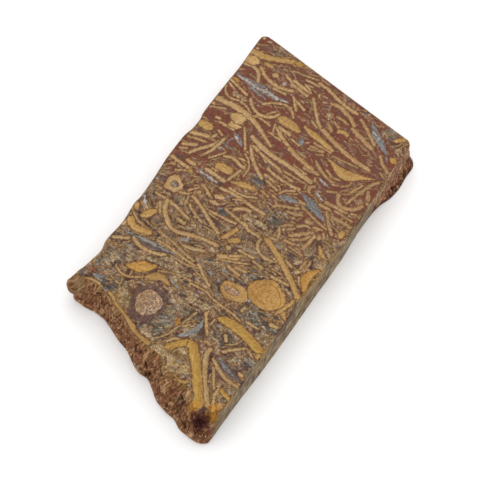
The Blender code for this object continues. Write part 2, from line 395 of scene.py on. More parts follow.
def add_rows(kind, rows, pointed=False):
    """Strips from rows: a width, or a tuple of widths, and then x and y of each point in turn."""
    for widths, *places in rows:
        add_strip(kind, widths, list(zip(places[::2], places[1::2])), pointed)
    print(len(rows), kind, "strips")

# %% [markdown]
# ## What lies in the upper face
#
# The strips that give this face its look are placed one by one, as read from the stone: first what
# lies lowest, such as broken-up tissue and lenses of chalcedony, then stems, then the broad blades
# on top. A row is a width and the points of the middle line, in millimetres.

# %% Broken-up tissue, lenses of chalcedony and dull stems
add_rows("mottled", [
    (1.2, -33.5, 17.5, -29, 20.5), (1.3, -41.9, 4.8, -42.3, 1.4, -41.7, -1.7, -42.3, -5.5),
    (1.5, -12.8, 20.6, -13.2, 16.8, -13.9, 9), (1, -19.5, 20.6, -18.7, 14.5, -18.2, 9.1, -17.6, 5.2),
    (2, -24.1, 2.2, -23.5, -0.9, -23.2, -4.4), (1.4, 7.2, 3.7, 7.6, -1, 7.5, -4.4),
    (1.5, 41.3, 29.1, 40.9, 24.1), (1, 34, 2.2, 33.8, -1.3), (0.8, -26.5, 1.8, -24.6, 6),
])
add_rows("dark", [
    (1.9, -16.4, 28, -15.4, 22, -14.9, 13), (1.9, -34.6, -14.8, -36.2, -17.8, -37.3, -21.7, -37.7, -24.8),
    (1.6, 19.3, 8, 19.8, 4), (1.4, 4.8, 10.4, 4.9, 7.8), (1.8, -33, -23.4, -31.6, -22.2),
], pointed=True)
add_rows("blue", [
    (0.6, -15.8, 30.2, -15.1, 26, -14.7, 21.4, -14.5, 16.8, -13.9, 12.5), (0.8, -32.1, 29.5, -31.4, 26),
    (1.4, -35.4, -1.7, -33.5, -3.6, -30.8, -5.2, -27.3, -5.2),
    (0.8, -34.8, -15.6, -36.2, -18, -37.2, -21.7), (1, -9.1, 14.5, -7.8, 12.2),
    (1, 13.7, 23.1, 12.9, 21.4, 12.7, 19.1, 12.3, 16), (1.6, 29.5, 21, 27.5, 17.9, 26.8, 16.8),
    (1.5, 18.3, -1.7, 19.1, -4.8, 19.8, -7.8), (1.7, 22.9, -6.9, 21.8, -9.8, 20.2, -13.2, 18.7, -17.1),
    ((0.9, 1.2, 1, 0.4), 47.9, 32, 46.6, 27.2, 45.4, 23.3, 44.4, 19.5),
    (1.9, 47.3, 30.5, 47.1, 24.5, 46.9, 20.6, 46.5, 16.8, 47.3, 13.3),
    ((0.5, 2.3, 2.2, 1.2, 0.5), 55.2, -11.7, 52.1, -14.4, 50.5, -17.1, 47.8, -20.5, 45.5, -22.3),
    (1.4, 36.6, 2.4, 38.4, 2.7), (0.9, 18.2, 22.2, 19, 21.7),
], pointed=True)
add_rows("pale", [
    (0.6, -5.8, 29.1, -3.5, 31, -2.4, 31.4), (0.4, 25.6, -9.8, 24.1, -13.2), (0.4, 30, -8.2, 28.7, -12.5),
    (0.7, 46.9, 23, 46.7, 19.5), (1.4, 52.1, 18.3, 52.1, 17.1),
], pointed=True)
add_rows("ghost", [
    (1.1, 44.4, 7.5, 44.6, 4.1), (0.8, 56.9, -1.7, 56.3, -6.3), (0.7, 47.1, -10.5, 44.8, -17.1),
    (0.8, 44.8, -9.4, 42.3, -12.8), (0.6, 42.8, -17.1, 43, -18.6), (0.6, 55.2, -14, 55.5, -15.5),
])

# %% Stems of the left end
add_rows("tan", [
    (0.9, -35.8, 31.8, -34.6, 30.6, -33.8, 27.5, -34.2, 25.6, -35.8, 23.7, -36.7, 21.4),
    (0.5, -26, 25.8, -27.1, 24.1, -27.5, 21.4, -26.7, 19.5, -25.2, 16.8, -23.5, 14.5),
    (0.5, -27, 20.2, -25, 20.8), (0.5, -39.6, 3.1, -36.5, 1, -33.1, -0.2, -28.5, -1.7, -26.3, -2.3),
    (0.4, -32.3, -1.1, -30.4, -3), (0.7, -38.5, 0, -36.5, -1.5, -36, -3.5),
    (1.3, -33.3, -12.1, -35.8, -11.9, -38.5, -13.2, -42.3, -15.5, -46.2, -18.6, -49.2, -20.9),
    (0.6, -37.5, -15.5, -40.8, -17.5, -43.8, -19.6),
    (0.8, -42.3, -20.9, -44.6, -20.5, -47.3, -21.7, -49.2, -22.8),
    (0.9, -35.8, -14, -37.7, -17.1, -39.2, -20.9, -39.6, -25.5),
    (0.8, -32.9, -15, -30.4, -17.5, -28.1, -20.2), (0.5, -28.1, -20.2, -29.6, -23.6),
    (0.7, -30.8, -8.8, -28.1, -6.7, -24.6, -4.4), (0.7, -32.5, -8.8, -32.7, -11.3),
    (0.5, -27.3, -7.7, -25.2, -7.8), (0.8, -29.6, -14.4, -27.5, -12.8), (1, -36, -24, -35.6, -22.5),
])

# %% Stems left of the middle
add_rows("tan", [
    (0.9, -19.1, 31.8, -17.8, 29.1, -16.6, 27.2),
    (0.6, -8.5, 31.8, -10.5, 28.7, -11.2, 25.6, -11.6, 22.9), (1, -14.5, 31.8, -12, 31),
    (0.9, -5, 26, -1.5, 27), (0.7, -5.2, 24.5, -1.6, 26.9),
    (0.7, -0.1, 29.5, -0.3, 24.8, -0.8, 21.4, -2.4, 16), (0.6, 2.2, 19.1, 0.7, 16.8, -1.2, 12.2),
    (0.8, -3.9, 19.5, -4.3, 16), (1, 4.9, 19.8, 3.4, 16, 0.7, 11, -1.6, 6.4),
    (0.7, -10.3, 21.8, -10.9, 17, -12.2, 11.4, -13.1, 7.2), (0.9, -10.5, 13.3, -9.7, 9.8, -8.5, 6.4),
    (0.7, -12.9, 20.4, -13, 16, -13.6, 12, -14.2, 6),
    (0.4, -21.2, 14.5, -19.7, 11, -18.9, 6.8, -18.7, 4.1), (0.4, -14.9, 14.5, -15.1, 9.1, -14.3, 5.2),
    (0.5, 3.4, 24.8, 4.9, 20.6),
    (0.5, -19.5, 4.8, -19.3, -0.9, -20.1, -3.2, -20.7, -7.1, -21.2, -11.3, -22, -14.4),
    (0.8, -17.4, -0.9, -16.2, 1.4, -14.3, 4.1, -12.8, 6), (0.6, -21.2, -15.5, -21.2, -20.2),
    (1.2, -18.2, -21.7, -17.9, -24.5), (0.9, -19.3, -12.8, -17.4, -13),
    (0.9, 3.8, -4.8, 1.1, -5.2, -0.5, -7.1, -1, -9.4, -0.8, -12), (0.8, 1.5, -15.2, 0.5, -17.5),
    (1.3, -0.5, -19.2, 2.2, -20.2, 4.9, -20.7), (0.7, -3.5, -22.8, -0.8, -20.5),
    (0.5, -8.9, 2.5, -7.8, -0.5, -6.2, -4.4, -5.1, -6.7), (1.2, -7.8, 2.9, -5.5, -3.2),
    (0.7, -6.2, -0.2, -3.9, -3.6), (1.5, -4.5, 1, -3.5, 2), (0.8, -8.9, -1.3, -9.9, -6.3),
    (0.8, -8.2, -3.6, -7.8, -7.5), (0.7, -3.7, -6.7, -4.3, -10.9), (0.6, -3, -1.3, -2.8, -6.7),
    (0.7, -5.1, -13.6, -4.9, -19.8), (0.5, -2.8, -12.5, -3, -16.3),
    (0.9, 5.2, 3.7, 4.9, 1, 4.1, -0.2, 3.8, -4.4),
])
add_rows("stem", [(0.9, -15.8, 26.8, -17.2, 23.7, -17.4, 20.6, -16.8, 17.9, -15.5, 15.2)])
add_rows("pink", [
    (0.7, 18.9, -1.1, 21, -2.5, 22.5, -5), (0.5, 44.8, 31.2, 44.2, 28.6),
])
add_rows("tan", [

    ((1.2, 1.1, 0.9), 0, 25.2, -3.2, 24.1, -5.5, 21.8, -7.2, 19.5, -7.6, 16.8, -6.4, 12.9, -5.5, 9.1,
     -5.1, 4.1),
])

# %% Stems right of the middle, upper half
add_rows("stem", [
    (0.9, 12.9, 32.5, 12.3, 28.3, 11.8, 24.5), (0.5, 10.8, 31.4, 11, 29.5), (0.6, 16.4, 32.2, 17.5, 29.8),
    (0.9, 17.9, 32.2, 19.1, 29.8, 20.2, 27.9), (0.6, 21, 32.2, 21.8, 29.1, 22.3, 26.4),
    (1.2, 22.5, 32.2, 23.7, 29.1, 24.3, 26.6), (0.9, 16.4, 28.7, 18.7, 27.2, 21.8, 24.8, 24.8, 23.1),
    (0.5, 17.9, 22.9, 19.8, 21.4, 22.5, 19.5), (0.7, 24.5, 25.8, 26.4, 25), (0.5, 27.9, 25.8, 26.8, 23.5),
    (0.7, 30.4, 27.2, 30.2, 21.4), (0.5, 31.2, 28.9, 31.4, 27), (1.2, 14.3, 27.9, 13.9, 24.5),
    (1, 14.7, 21.8, 14.3, 17.5, 13.9, 14), (0.6, 15.8, 20.2, 15.8, 17.9),
    (0.8, 14.5, 13.9, 16.8, 13.3, 19.8, 12.3), (0.9, 21, 19.5, 22, 16.8, 21.2, 13.7, 20.8, 11.4),
    (0.5, 32.9, 19.7, 29.5, 17.2, 26, 15), (0.9, 28.5, 14.5, 25.6, 12.2, 22.9, 9.1, 20.6, 5.4),
    (0.4, 25.2, 14.5, 23.7, 12.2, 21.4, 10.8, 18.3, 10.6), (0.5, 23.1, 15.2, 23.1, 12.9),
    (0.9, 28.9, 14.1, 27.5, 9.8, 26, 7.2), (0.9, 27.9, 11, 26.8, 6.8, 26, 2.5),
    (1.3, 31.4, 16.2, 30.2, 12.9, 29.1, 8.3, 28.7, 2.2, 28.3, -0.9, 27.5, -7.5),
    (0.8, 24.8, 6.4, 23.9, 3.7, 23.3, -1.7, 23.5, -5.9), (0.6, 22.5, 6, 21.8, 1.8),
    (0.6, 21, 4.5, 19.7, -0.5), (0.9, 11.4, 14.5, 11.8, 9.1, 11.2, 2.9, 11, -1.7),
    (0.6, 12.9, 12.2, 12.9, 7.5, 14.5, 3.3), (0.4, 10.2, 9.1, 12.2, 5.2),
    (0.6, 3.3, 12.9, 3.5, 8.3, 3.9, 3.7), (0.5, 1, 20, 3.3, 20.4, 5.6, 20.6), (0.6, 3.7, 23.7, 4.8, 20.6),
    (0.8, 9.7, 19.5, 8.7, 17.2, 7.3, 15.2), (1.4, 8.3, 14, 9.3, 11.4), (1, 6, 14.5, 6.8, 11.4),
    (0.7, 6.4, 9.5, 5.2, 3.3), (0.9, 7.2, 7.2, 9.1, 5.2, 9.7, 2.5), (0.4, 9.3, 29.1, 11.2, 25.6),
    (0.6, 5.6, 21.8, 8.3, 19.5),
])

# %% Stems right of the middle, lower half
add_rows("twig", [
    (0.7, 17.2, 3.7, 16.6, 0.6), (0.7, 17.7, 0.2, 17, -2.3),
    (0.8, 14.3, -1.9, 15.6, -3.2, 16.8, -5.9, 18.1, -9.2), (0.8, 15.4, -6.3, 16, -9.4, 16.8, -10.9),
    (0.6, 25.2, 1, 24.7, -2.5), (1, 26.6, 4.8, 25.6, 1.8), (0.5, 26.4, 2.2, 26.2, -2.5, 26.2, -5.9),
    (0.5, 29.8, 0.6, 28.9, -4.8), (0.9, 30.5, -2.5, 30.9, -7.8), (0.9, 20.2, -7.3, 20.2, -9.8),
    (0.5, 19.3, -9, 17.9, -13.2, 16.4, -19.4), (1.1, 15.6, -12.5, 15.8, -14.8),
    (0.6, 15, -15.5, 15.6, -18.6), (0.8, 5.2, -6.3, 6, -9.4), (0.8, 6.4, -9, 9.8, -7.3),
    (0.8, 10.2, -7.5, 11.8, -9, 12.5, -10.5), (0.6, 10, -9.4, 12, -11.5),
    (0.7, 12.5, -11.3, 14.3, -13.6, 14.1, -15.5), (1, 8.7, -10.9, 11, -13.6, 13.7, -16.9),
    (0.8, 7.9, -11.7, 9.5, -14.8, 12.4, -16.7), (0.7, 6.8, -10.5, 7.3, -14.4),
    (1, 6.8, -16.7, 13.3, -17.7), (0.5, 5.8, -12.8, 5.4, -18.2), (0.7, 1, -19.6, 4.8, -19.8),
    (0.5, 1, -21.1, 5.2, -21), (1, 12.3, -19, 13.7, -18.6), (0.9, 21.8, -16.1, 18.7, -18.6, 15.6, -21.7),
    (1.1, 21, -18.2, 20.8, -25.2), (0.8, 22.5, -12.8, 22.5, -17.1), (0.9, 24.1, -14, 24.3, -21.7),
    (0.5, 23.1, -17.8, 22.7, -24.4), (1, 28.7, -15.9, 26, -17.5, 25.4, -20.2, 26.8, -22.8, 29.1, -24.2),
    (0.8, 26.8, -19.6, 30.2, -20.5, 32.9, -21.9), (0.7, 30, -18.4, 32.9, -20.2),
    (0.8, 29.5, -25.2, 32.9, -23.2), (0.8, 23.8, -8.7, 25.5, -7.8, 27.2, -8.9),
    (0.6, 27.9, -8.2, 29.5, -7.3), (0.6, 27.3, -12.5, 28.7, -15.5),
])

# %% Stems of the right end, upper half
add_rows("stem", [
    (0.5, 33.4, 32.3, 34.4, 29.8, 35.3, 27.7), (1.2, 34.4, 32.2, 35.2, 31.8),
    ((1.7, 1.7, 1.4, 0.6), 36.9, 32.5, 37.3, 28.3, 37.3, 24.5, 36.9, 21.4, 35.9, 17.9, 33.6, 13.3,
     31.3, 9.1), (0.5, 37.3, 19.8, 38, 17.5, 37.3, 13.3),
    (0.5, 42.5, 32.3, 40.2, 31, 39.2, 28.7, 39.8, 25.6, 39.2, 22.9, 38, 20.6),
    (0.7, 44.8, 32.3, 43.8, 28.7, 42.7, 24.8), (0.5, 43.6, 32.2, 42.5, 29.1),
    (0.8, 42.5, 23.7, 40.5, 21.8, 39.2, 19.5, 39, 17.2, 40.2, 14.5, 42.5, 13.1),
    (0.5, 40.2, 16.4, 42.5, 14.5), (0.6, 42.3, 19.5, 44.4, 17.2, 45.9, 13.7, 45.5, 11, 43.2, 8.9),
    (0.9, 51.7, 32.2, 52.3, 29.1, 51.3, 26.4, 48.2, 24.5),
    (0.9, 53.6, 27.2, 51.7, 24.5, 50.5, 21.4, 50.3, 17.5, 51.5, 13.7), (1.5, 52.8, 22.5, 53.6, 20.6),
    (0.7, 49, 19.8, 49.2, 15.2), (0.9, 55.2, 19.1, 53.2, 14.5, 52.1, 9.1), (0.9, 54.8, 16, 53.6, 9.1),
    (0.4, 57.5, 17.9, 58.2, 12.9, 59, 9.5), (0.6, 56.9, 12.9, 57.1, 7.9), (0.7, 55.5, 12.5, 54.4, 9.5),
    (0.8, 50, 12.9, 47.1, 10.6, 45.9, 9.5), (0.7, 49, 11.4, 47.5, 7.5),
    (0.9, 52.8, 7.9, 50.2, 5.6, 47.1, 2.9, 44.5, 0),
    (1, 58.2, 9.1, 57.5, 5.2, 56.3, 1.4, 55.2, -3.2, 55, -6.7), (0.5, 35.7, 11.4, 39, 12.5),
    (1, 38, 11.4, 35.5, 7.5, 33.2, 2.5), (1, 38.4, 11, 37.8, 6.4), (0.4, 35.3, 12.9, 34.6, 7.5),
    (0.6, 36.9, 5.6, 36.1, 2.2), (0.6, 53.7, 6.2, 54.4, 6.8, 55, 6.1), (0.8, 62.6, 32.2, 63, 31.2),
    (1, 58.4, 31.9, 58.8, 30.9),
])

# %% Stems of the right end, lower half
add_rows("twig", [
    (1.3, 34, 4.8, 32.5, 0.2, 31.3, -5.5), (0.8, 34.4, -4.4, 32.1, -8.2, 30.7, -12.5),
    (0.6, 33.6, -8.4, 32.3, -11.7, 32.7, -14), (0.5, 30.9, -15.2, 32.5, -17.1, 34, -17.1),
    (0.7, 36.7, -0.2, 38.4, -5), (0.8, 37.8, -0.2, 38.2, -2.8), (0.5, 36.3, -3.2, 37.3, -5.5),
    (0.6, 39.4, -0.5, 39.2, -7.1), (0.5, 38.4, -7.5, 38.8, -12.5, 39.2, -16.3),
    (1.2, 44.8, -0.2, 43.2, -4.4, 41.9, -8.6, 40.7, -14, 40.2, -19.8), (0.7, 45.7, 4.1, 44.2, 1),
    (0.9, 47.5, -0.5, 45.5, -3.2), (0.6, 49, -1.7, 47.8, -4.4), (0.6, 50.9, -1.7, 50.3, -6.3),
    (1, 53.8, 2.5, 54.2, -0.5, 52.8, -4.8, 50.7, -8.2), (1.2, 49.8, -7.5, 48.2, -12.5, 46.7, -16.7),
    (0.8, 54, -8.2, 52.1, -11.3, 48.2, -16.7), (0.9, 46.5, -19.6, 44.4, -21.3, 42.1, -24.8),
    (0.6, 41.3, -22.5, 40, -24.8), (0.7, 30.7, -18.6, 34.8, -20.7),
    (0.9, 30.5, -20.5, 36.7, -22.8, 38.2, -24.4), (0.9, 34, -22.8, 30.9, -24.8),
])

# %% Broad blades and leaves, on top
add_rows("gold", [
    (2, -40.2, -0.9, -35, -5.5), (2.7, -35, -5.9, -37.7, -9, -42.3, -12.8, -47.3, -16.7, -50.8, -19),
    (1.2, -42.7, -20.9, -43.5, -23.2, -44.2, -25.2),
    ((1.4, 2.9, 2.6, 2.4, 2.4), -24.4, -8.6, -24, -12, -24.6, -17, -26.2, -22, -27.2, -25),
])
add_rows("ochre", [

    ((0.8, 1.3, 1.8), -34.4, 22.7, -35, 20.6, -36.5, 18.7, -37.7, 16, -38.5, 13.7, -39.6, 11, -41, 9,
     -41.7, 6, -41.9, 3.3), (0.9, -46, -7.1, -46.7, -9, -46.5, -10.9, -45.4, -12.3),
    ((0.5, 2.5, 1.6, 0.6), -25, 16.5, -23.3, 14, -22.4, 12.2, -23.3, 9), (1.4, -7.8, 31, -5.5, 32.3),
    (1.4, -2.4, 4.8, -0.1, 3.7, 3, 2.5), (1.6, -2, 2.5, -0.1, -0.2), (2.6, 27.4, 32, 27.1, 27.4),
    (2.6, 17.5, 19.6, 17.9, 14.3),
    ((0.8, 1.6, 1.8, 1.4, 0.8), 42.8, 4.8, 41.9, 2, 41.3, -1, 40.7, -4, 40, -7.2),
    (1.3, 46.4, -4.6, 47.2, -6, 47, -8.2), ((2.2, 2.9, 2.9, 2.3, 0.8), 41, 12.6, 40.9, 9, 40.3, 4.6),
    ((1.3, 2.3, 1.2), -8.8, 28.6, -7, 27.2, -4.9, 25.8), (1.1, 52.8, -20.5, 55.2, -23.2),
    ((2.2, 1.6, 0.6), 56.9, 32.3, 57.1, 28.3, 58.2, 24.5, 59.8, 20.6, 60.9, 17.5, 61.3, 13.3),
    (1.5, 4.5, -5.9, 3, -9.4, -0.1, -14.8, -3.2, -19.4, -6.2, -23.2, -8.2, -25.2),
    ((2, 1.9, 1.4), -10.5, 31, -12.4, 29.5, -13, 27.2, -12.4, 24.5, -12.2, 22.9),
])
add_rows("ochre", [
    (1.8, 14.8, 12.9, 15.8, 9.5, 16.8, 4.5), (1.3, 55.2, 26.8, 55.3, 23.3),
    ((0.8, 1.8, 3.2, 3.2, 1.3, 0.5), 37.1, -6.7, 36.3, -9.4, 35.2, -12.5, 35.3, -15.5, 36.7, -18.6,
     38.6, -22.8), (1.2, 11, -20.2, 8.7, -22.5, 8.1, -24.8), (1.2, -12, -21.8, -15, -24.9),
    (1.4, -15.3, -21.3, -7.6, -23.8),
], pointed=True)
add_rows("stem", [(0.9, 17.2, 25.2, 20.2, 23.7, 24.1, 22.7, 27.9, 22.0)], pointed=True)
add_rows("orange", [
    (3.2, -24.7, 23.3, -23, 19.8, -20.2, 15.4), (2.7, -4.6, -25, -2.4, -23.4, 0.7, -22.9, 4.2, -24.6),
    (1.8, 47.3, -22.3, 46.3, -25.4), (1, 45.9, 32.2, 45.3, 29.1), (1.8, 60.2, 19, 60.9, 16),
], pointed=True)
add_rows("red", [(0.4, -31.2, 32.0, -30.4, 26.0)])

# %% Stems cut straight across
ROUNDS = [                # kind, middle, half widths
    ("bark", -31.3, 11.4, 6.1, 5), ("core", -31.2, 11.2, 4.1, 3.6), ("ochre", -15.1, -7.7, 2.7, 4.6),
    ("core", -15.1, -6.9, 1, 2.4), ("disc", -10.9, -15.9, 4.6, 5.7), ("ochre", -28.5, -24.5, 1, 0.9),
    ("stain", -31.5, 0.5, 1.1, 0.8), ("stem", 5.2, 26.4, 2.7, 2.5, 0, 0.35),
    ("ash", 5.3, 26.2, 0.9, 0.95), ("ochre", 11.4, 24.8, 0.8, 0.7), ("tan", 6.8, 18.7, 0.7, 0.6),
    ("light", 32, 22.4, 1.4, 2, 0.3, 0.4), ("light", 34.2, 22.8, 1.7, 2.7, 0, 0.5),
    ("ochre", 17.3, -23.8, 1.4, 0.9), ("mottled", 49.8, 0.3, 1.3, 1), ("mottled", 50.3, -23.3, 1.1, 0.9),
    ("tan", 61.7, 26.8, 0.8, 0.7), ("red", 61.7, 26.8, 0.35, 0.3), ("pale", -15.1, -12.8, 0.4, 0.4),
    ("pale", 22.7, 21.6, 0.5, 0.4),
]
for row in ROUNDS:
    add_round(*row)
add_rows("pale", [
    ((0.3, 0.6, 0.4, 0.9, 0.6, 0.2), 47.2, 31.6, 46.9, 27, 46.4, 23.6, 46.9, 20.6, 46.6, 17, 46.9, 13.6),
    (0.3, 52.3, -13.6, 50.7, -17), (0.4, 12.9, 22, 12.7, 18.4, 12.4, 16.2), (0.5, 28.9, 20.2, 27.4, 18.4),
])
add_rows("light", [((3.2, 2.8, 3.4, 1.8), 53.6, 32.4, 54.2, 30.2, 54.4, 28.2)])
add_rows("seam", [
    (0.25, -12.6, -13.4, -13.6, -15.2, -13.5, -17), (0.3, -10.9, -12.6, -9.4, -12.9, -8.4, -14),
    (0.3, -9.6, -19.9, -8, -18.2, -7.4, -15.8, -8, -13.6),
    (0.25, -12.8, -17.4, -11.8, -16.4, -10.6, -16.8), (0.25, -10, -15.4, -9, -16.2),
    (0.25, -12.2, -18.4, -10.9, -17.8), (0.25, -14.9, -4.6, -16.1, -5.8, -16.2, -8, -15.2, -9.6),
    (0.25, -14, -8.8, -13.8, -6.4, -14.6, -4.6),
])
print(len(strips), "strips and chips placed by hand")

# %% [markdown]
# ## The litter between them
#
# Between the large strips the stone is full of short bits of the same kind. Nobody would place
# these one by one, so a seeded draw scatters them. They keep off the clear red ground, lie under
# the large strips, and lean the way that the bedding leans: steep at the right end, mixed in the
# middle, any way at the lower left.

# %% Ground without bits
CLEAR_GROUND = [          # places with nothing in them: x, y, radius
    (31, 30, 2.2), (42.5, 18.5, 2.5), (50, 29, 2), (35.5, 26.5, 1.5), (33, 4, 3), (31, 1, 2),
    (36, -4, 1.5), (33.5, -1.5, 1), (45, -20, 2.5), (41, -23, 1.5), (32, -22, 1.5),
]
DARK_GROUND = [           # clean dark silica between the strips: x, y, radius
    (-35, -9, 1.6), (-31, -7, 1.3), (-40, -19, 1.8), (-44, -17.6, 1), (-36.4, -21, 1.6),
    (-31.5, -17, 1.4), (-33.8, -23.2, 1.4), (-23.6, -1.6, 1.6), (-21, 1, 1.4), (0.2, 7.8, 1.5),
    (-22, -8, 1.5), (-26, -10, 1), (-22.5, -19.5, 1.4), (1.2, -8.6, 1.3), (-1, -1, 1), (2.2, -3, 1.4),
    (-8, -21.5, 1.4), (-3, -17, 1.2), (-5.5, -18.5, 1), (0, 2.6, 1), (-22.5, 26, 1.8), (-19, 24, 1.4),
    (-7.5, 24.6, 1.2), (-4.6, 22.6, 1.1), (-17, 7, 1.3), (2, 9, 1.6), (-3, 19, 0.9), (14, 30, 1.5),
    (9, 12, 1), (12.6, 15, 1), (7, 24, 1.2), (16.6, 8, 1), (-27, 9, 1.4), (-36.5, 8.5, 1.4),
    (-24.5, 12, 1), (-10, 28, 0.9), (-2, 11.5, 1), (3, -16, 1.4), (11.5, -19.5, 1.5), (13, -14, 1),
    (9, -11.5, 0.9), (5, 28.5, 0.8), (-18, 30, 1),
]
BLUE_GROUND = [           # bluish silica with few bits: x, y, radius
    (-18.5, -16.3, 2.3), (-18.4, -22.3, 1.7), (-33, 24, 1.6), (-32.2, -22.8, 1.3), (-13, 2, 1.4),
    (19.5, 6, 1.5), (12, -4, 1.2), (21, -12, 1),
]
print(len(CLEAR_GROUND) + len(DARK_GROUND) + len(BLUE_GROUND), "places kept free of bits")

# %% Scatter short bits
SEED = 4
UPPER_BITS, UPPER_REACH = 1000, (-50.0, 63.0, -25.0, 32.5)        # how many, and x and y from and to
BIT_GAP, STRIP_GAP = 0.95, 0.6    # least distance to the middle of a bit, and of a placed strip
LONE = 3.0                # from this distance on, a placed strip doesn't turn a bit
OWN_WAY = 0.3             # share of the bits that don't follow their neighbour
KEPT = ((-22.0, 0.45), (5.0, 1.0), (27.0, 0.6), (99.0, 0.3))      # up to this x, how many draws stay
LEAN, LEAN_SPREAD = 80.0, ((-20.0, 80.0), (20.0, 38.0), (99.0, 12.0))   # degrees, by x
STEEP_END, EAST = 20.0, 27.0      # x from which bits are straight and long, and of other kinds
BIT_WIDTH, BIT_LENGTH, BIT_BEND = (0.0, 0.36), (1.2, 3.6), (-0.2, 0.2)
WAVER, STEEP_WAVER = 0.25, 0.12   # radians that a bit strays from its direction
LONG_SHARE, LONGER = 0.3, 1.5     # share of the bits that are longer, and how much
LEAF_SHARE = 0.3                  # share of the bits with pointed ends
BIT_KINDS = ["tan"] * 5 + ["dull"] * 6 + ["twig", "pink", "mottled", "mottled", "mottled", "blue"]
EAST_KINDS = ["twig"] * 3 + ["ghost"] * 9 + ["dull"] * 4 + ["pink"]


def neighbour(spot, middles, angles):
    """How far the nearest piece of a placed strip is, and which way it runs."""
    gaps = np.hypot(middles[:, 0] - spot[0], middles[:, 1] - spot[1])
    nearest = gaps.argmin()
    return gaps[nearest], angles[nearest]


def up_to(x, steps):
    """The value that belongs to the first edge this x lies below."""
    return next(value for edge, value in steps if x < edge)


def scatter_bits(draw, count, reach, clear, keep_off):
    """Short seeded strips inside a rectangle, most of them along their nearest neighbour."""
    runs = np.concatenate([np.diff(strip["line"], axis=0) for strip in keep_off])
    middles = np.concatenate([0.5 * (strip["line"][1:] + strip["line"][:-1]) for strip in keep_off])
    angles = np.arctan2(runs[:, 1], runs[:, 0])
    spots = []
    tries = 0
    while len(spots) < count and tries < 40 * count:
        tries += 1
        x, y = draw.uniform(reach[0], reach[1]), draw.uniform(reach[2], reach[3])
        if any(math.dist((x, y), zone[:2]) < zone[2] for zone in clear):
            continue
        if any(math.dist((x, y), spot) < BIT_GAP for spot in spots):
            continue
        gap, angle = neighbour((x, y), middles, angles)
        if gap < STRIP_GAP or draw.random() > up_to(x, KEPT):
            continue
        spots.append((x, y))
        if gap > LONE or draw.random() < OWN_WAY:
            angle = math.radians(draw.gauss(LEAN, up_to(x, LEAN_SPREAD)))
        angle += draw.gauss(0.0, STEEP_WAVER if x > STEEP_END else WAVER)
        length = draw.uniform(*BIT_LENGTH)
        if x > STEEP_END or draw.random() < LONG_SHARE:
            length *= LONGER
        bend = draw.uniform(*BIT_BEND) * length
        middle, run = np.array((x, y)), np.array((math.cos(angle), math.sin(angle)))
        side = np.array((-run[1], run[0]))
        points = [tuple(middle + push) for push in (-run * length / 2, side * bend, run * length / 2)]
        kind = draw.choice(EAST_KINDS if x > EAST else BIT_KINDS)
        add_strip(kind, draw.uniform(*BIT_WIDTH), points, draw.random() < LEAF_SHARE)
    return len(spots)


placed = strips
strips = []
draw = random.Random(SEED)
found = scatter_bits(draw, UPPER_BITS, UPPER_REACH, CLEAR_GROUND + DARK_GROUND + BLUE_GROUND, placed)
upper_strips = strips + placed
print(found, "bits scattered,", len(upper_strips), "strips in the upper face")

# %% [markdown]
# ## The lower face
#
# The saw cut the lower face through the same bed, 10 mm deeper, so it looks alike but shows other
# strips. No picture shows it, so all of it is drawn by seed: long stems, blades and litter.

# %% Strips of the lower face
LOWER_STEMS, LOWER_DISCS = 120, 9
LOWER_BITS, LOWER_REACH = 260, (-52.0, 63.0, -25.0, 32.0)
strips = []
for _ in range(LOWER_STEMS):
    x, y = draw.uniform(-52.0, 62.0), draw.uniform(-25.0, 32.0)
    angle = math.radians(draw.gauss(78.0, 16.0 if x > 10.0 else 45.0))
    length = draw.uniform(4.0, 14.0)
    curl = draw.uniform(-0.5, 0.5)
    points = []
    for share in (-0.5, -0.17, 0.17, 0.5):
        turn = angle + curl * share
        points.append((x + share * length * math.cos(turn), y + share * length * math.sin(turn)))
    broad = draw.random() < 0.15
    kind = draw.choice(["tan", "tan", "tan", "ochre", "dull", "pink", "blue", "mottled"])
    add_strip(kind, draw.uniform(1.6, 2.8) if broad else draw.uniform(0.5, 1.2), points, broad)
for _ in range(LOWER_DISCS):
    x, y, size = draw.uniform(-40.0, 40.0), draw.uniform(-20.0, 28.0), draw.uniform(1.2, 3.2)
    add_round("disc", x, y, size, size * draw.uniform(0.8, 1.2))
    add_round("core", x, y, 0.45 * size, 0.45 * size)
lower_placed = strips
strips = []
found = scatter_bits(draw, LOWER_BITS, LOWER_REACH, [], lower_placed)
lower_strips = strips + lower_placed
print(found, "bits scattered,", len(lower_strips), "strips in the lower face")

# %% [markdown]
# ## Cutting the faces along the strips
#
# A constrained Delaunay triangulation takes outlines that cross each other and gives triangles
# whose edges follow all of them. Where strips overlap, the last one in the list lies on top. The
# work grows fast with the number of outlines, so the face is cut in tiles and joined again.

# %% Triangulate one sawn face
TILE = 15.0               # width of a tile
GROUND_GAP = 2.0          # spacing of extra points in the ground, so that soft zones blend well
TILE_LAP = 3.0            # how far the outline runs on beyond a tile
TINY = 1e-6


def inside(spots, loop):
    """Which spots lie inside a closed loop: a ray to the right crosses it an odd number of times."""
    x, y = spots[:, 0:1], spots[:, 1:2]
    a, b = loop, np.roll(loop, -1, axis=0)
    crosses = (a[:, 1] > y) != (b[:, 1] > y)
    rise = np.where(b[:, 1] == a[:, 1], TINY, b[:, 1] - a[:, 1])
    reach = a[:, 0] + (y - a[:, 1]) * (b[:, 0] - a[:, 0]) / rise
    return (crosses & (x < reach)).sum(axis=1) % 2 == 1


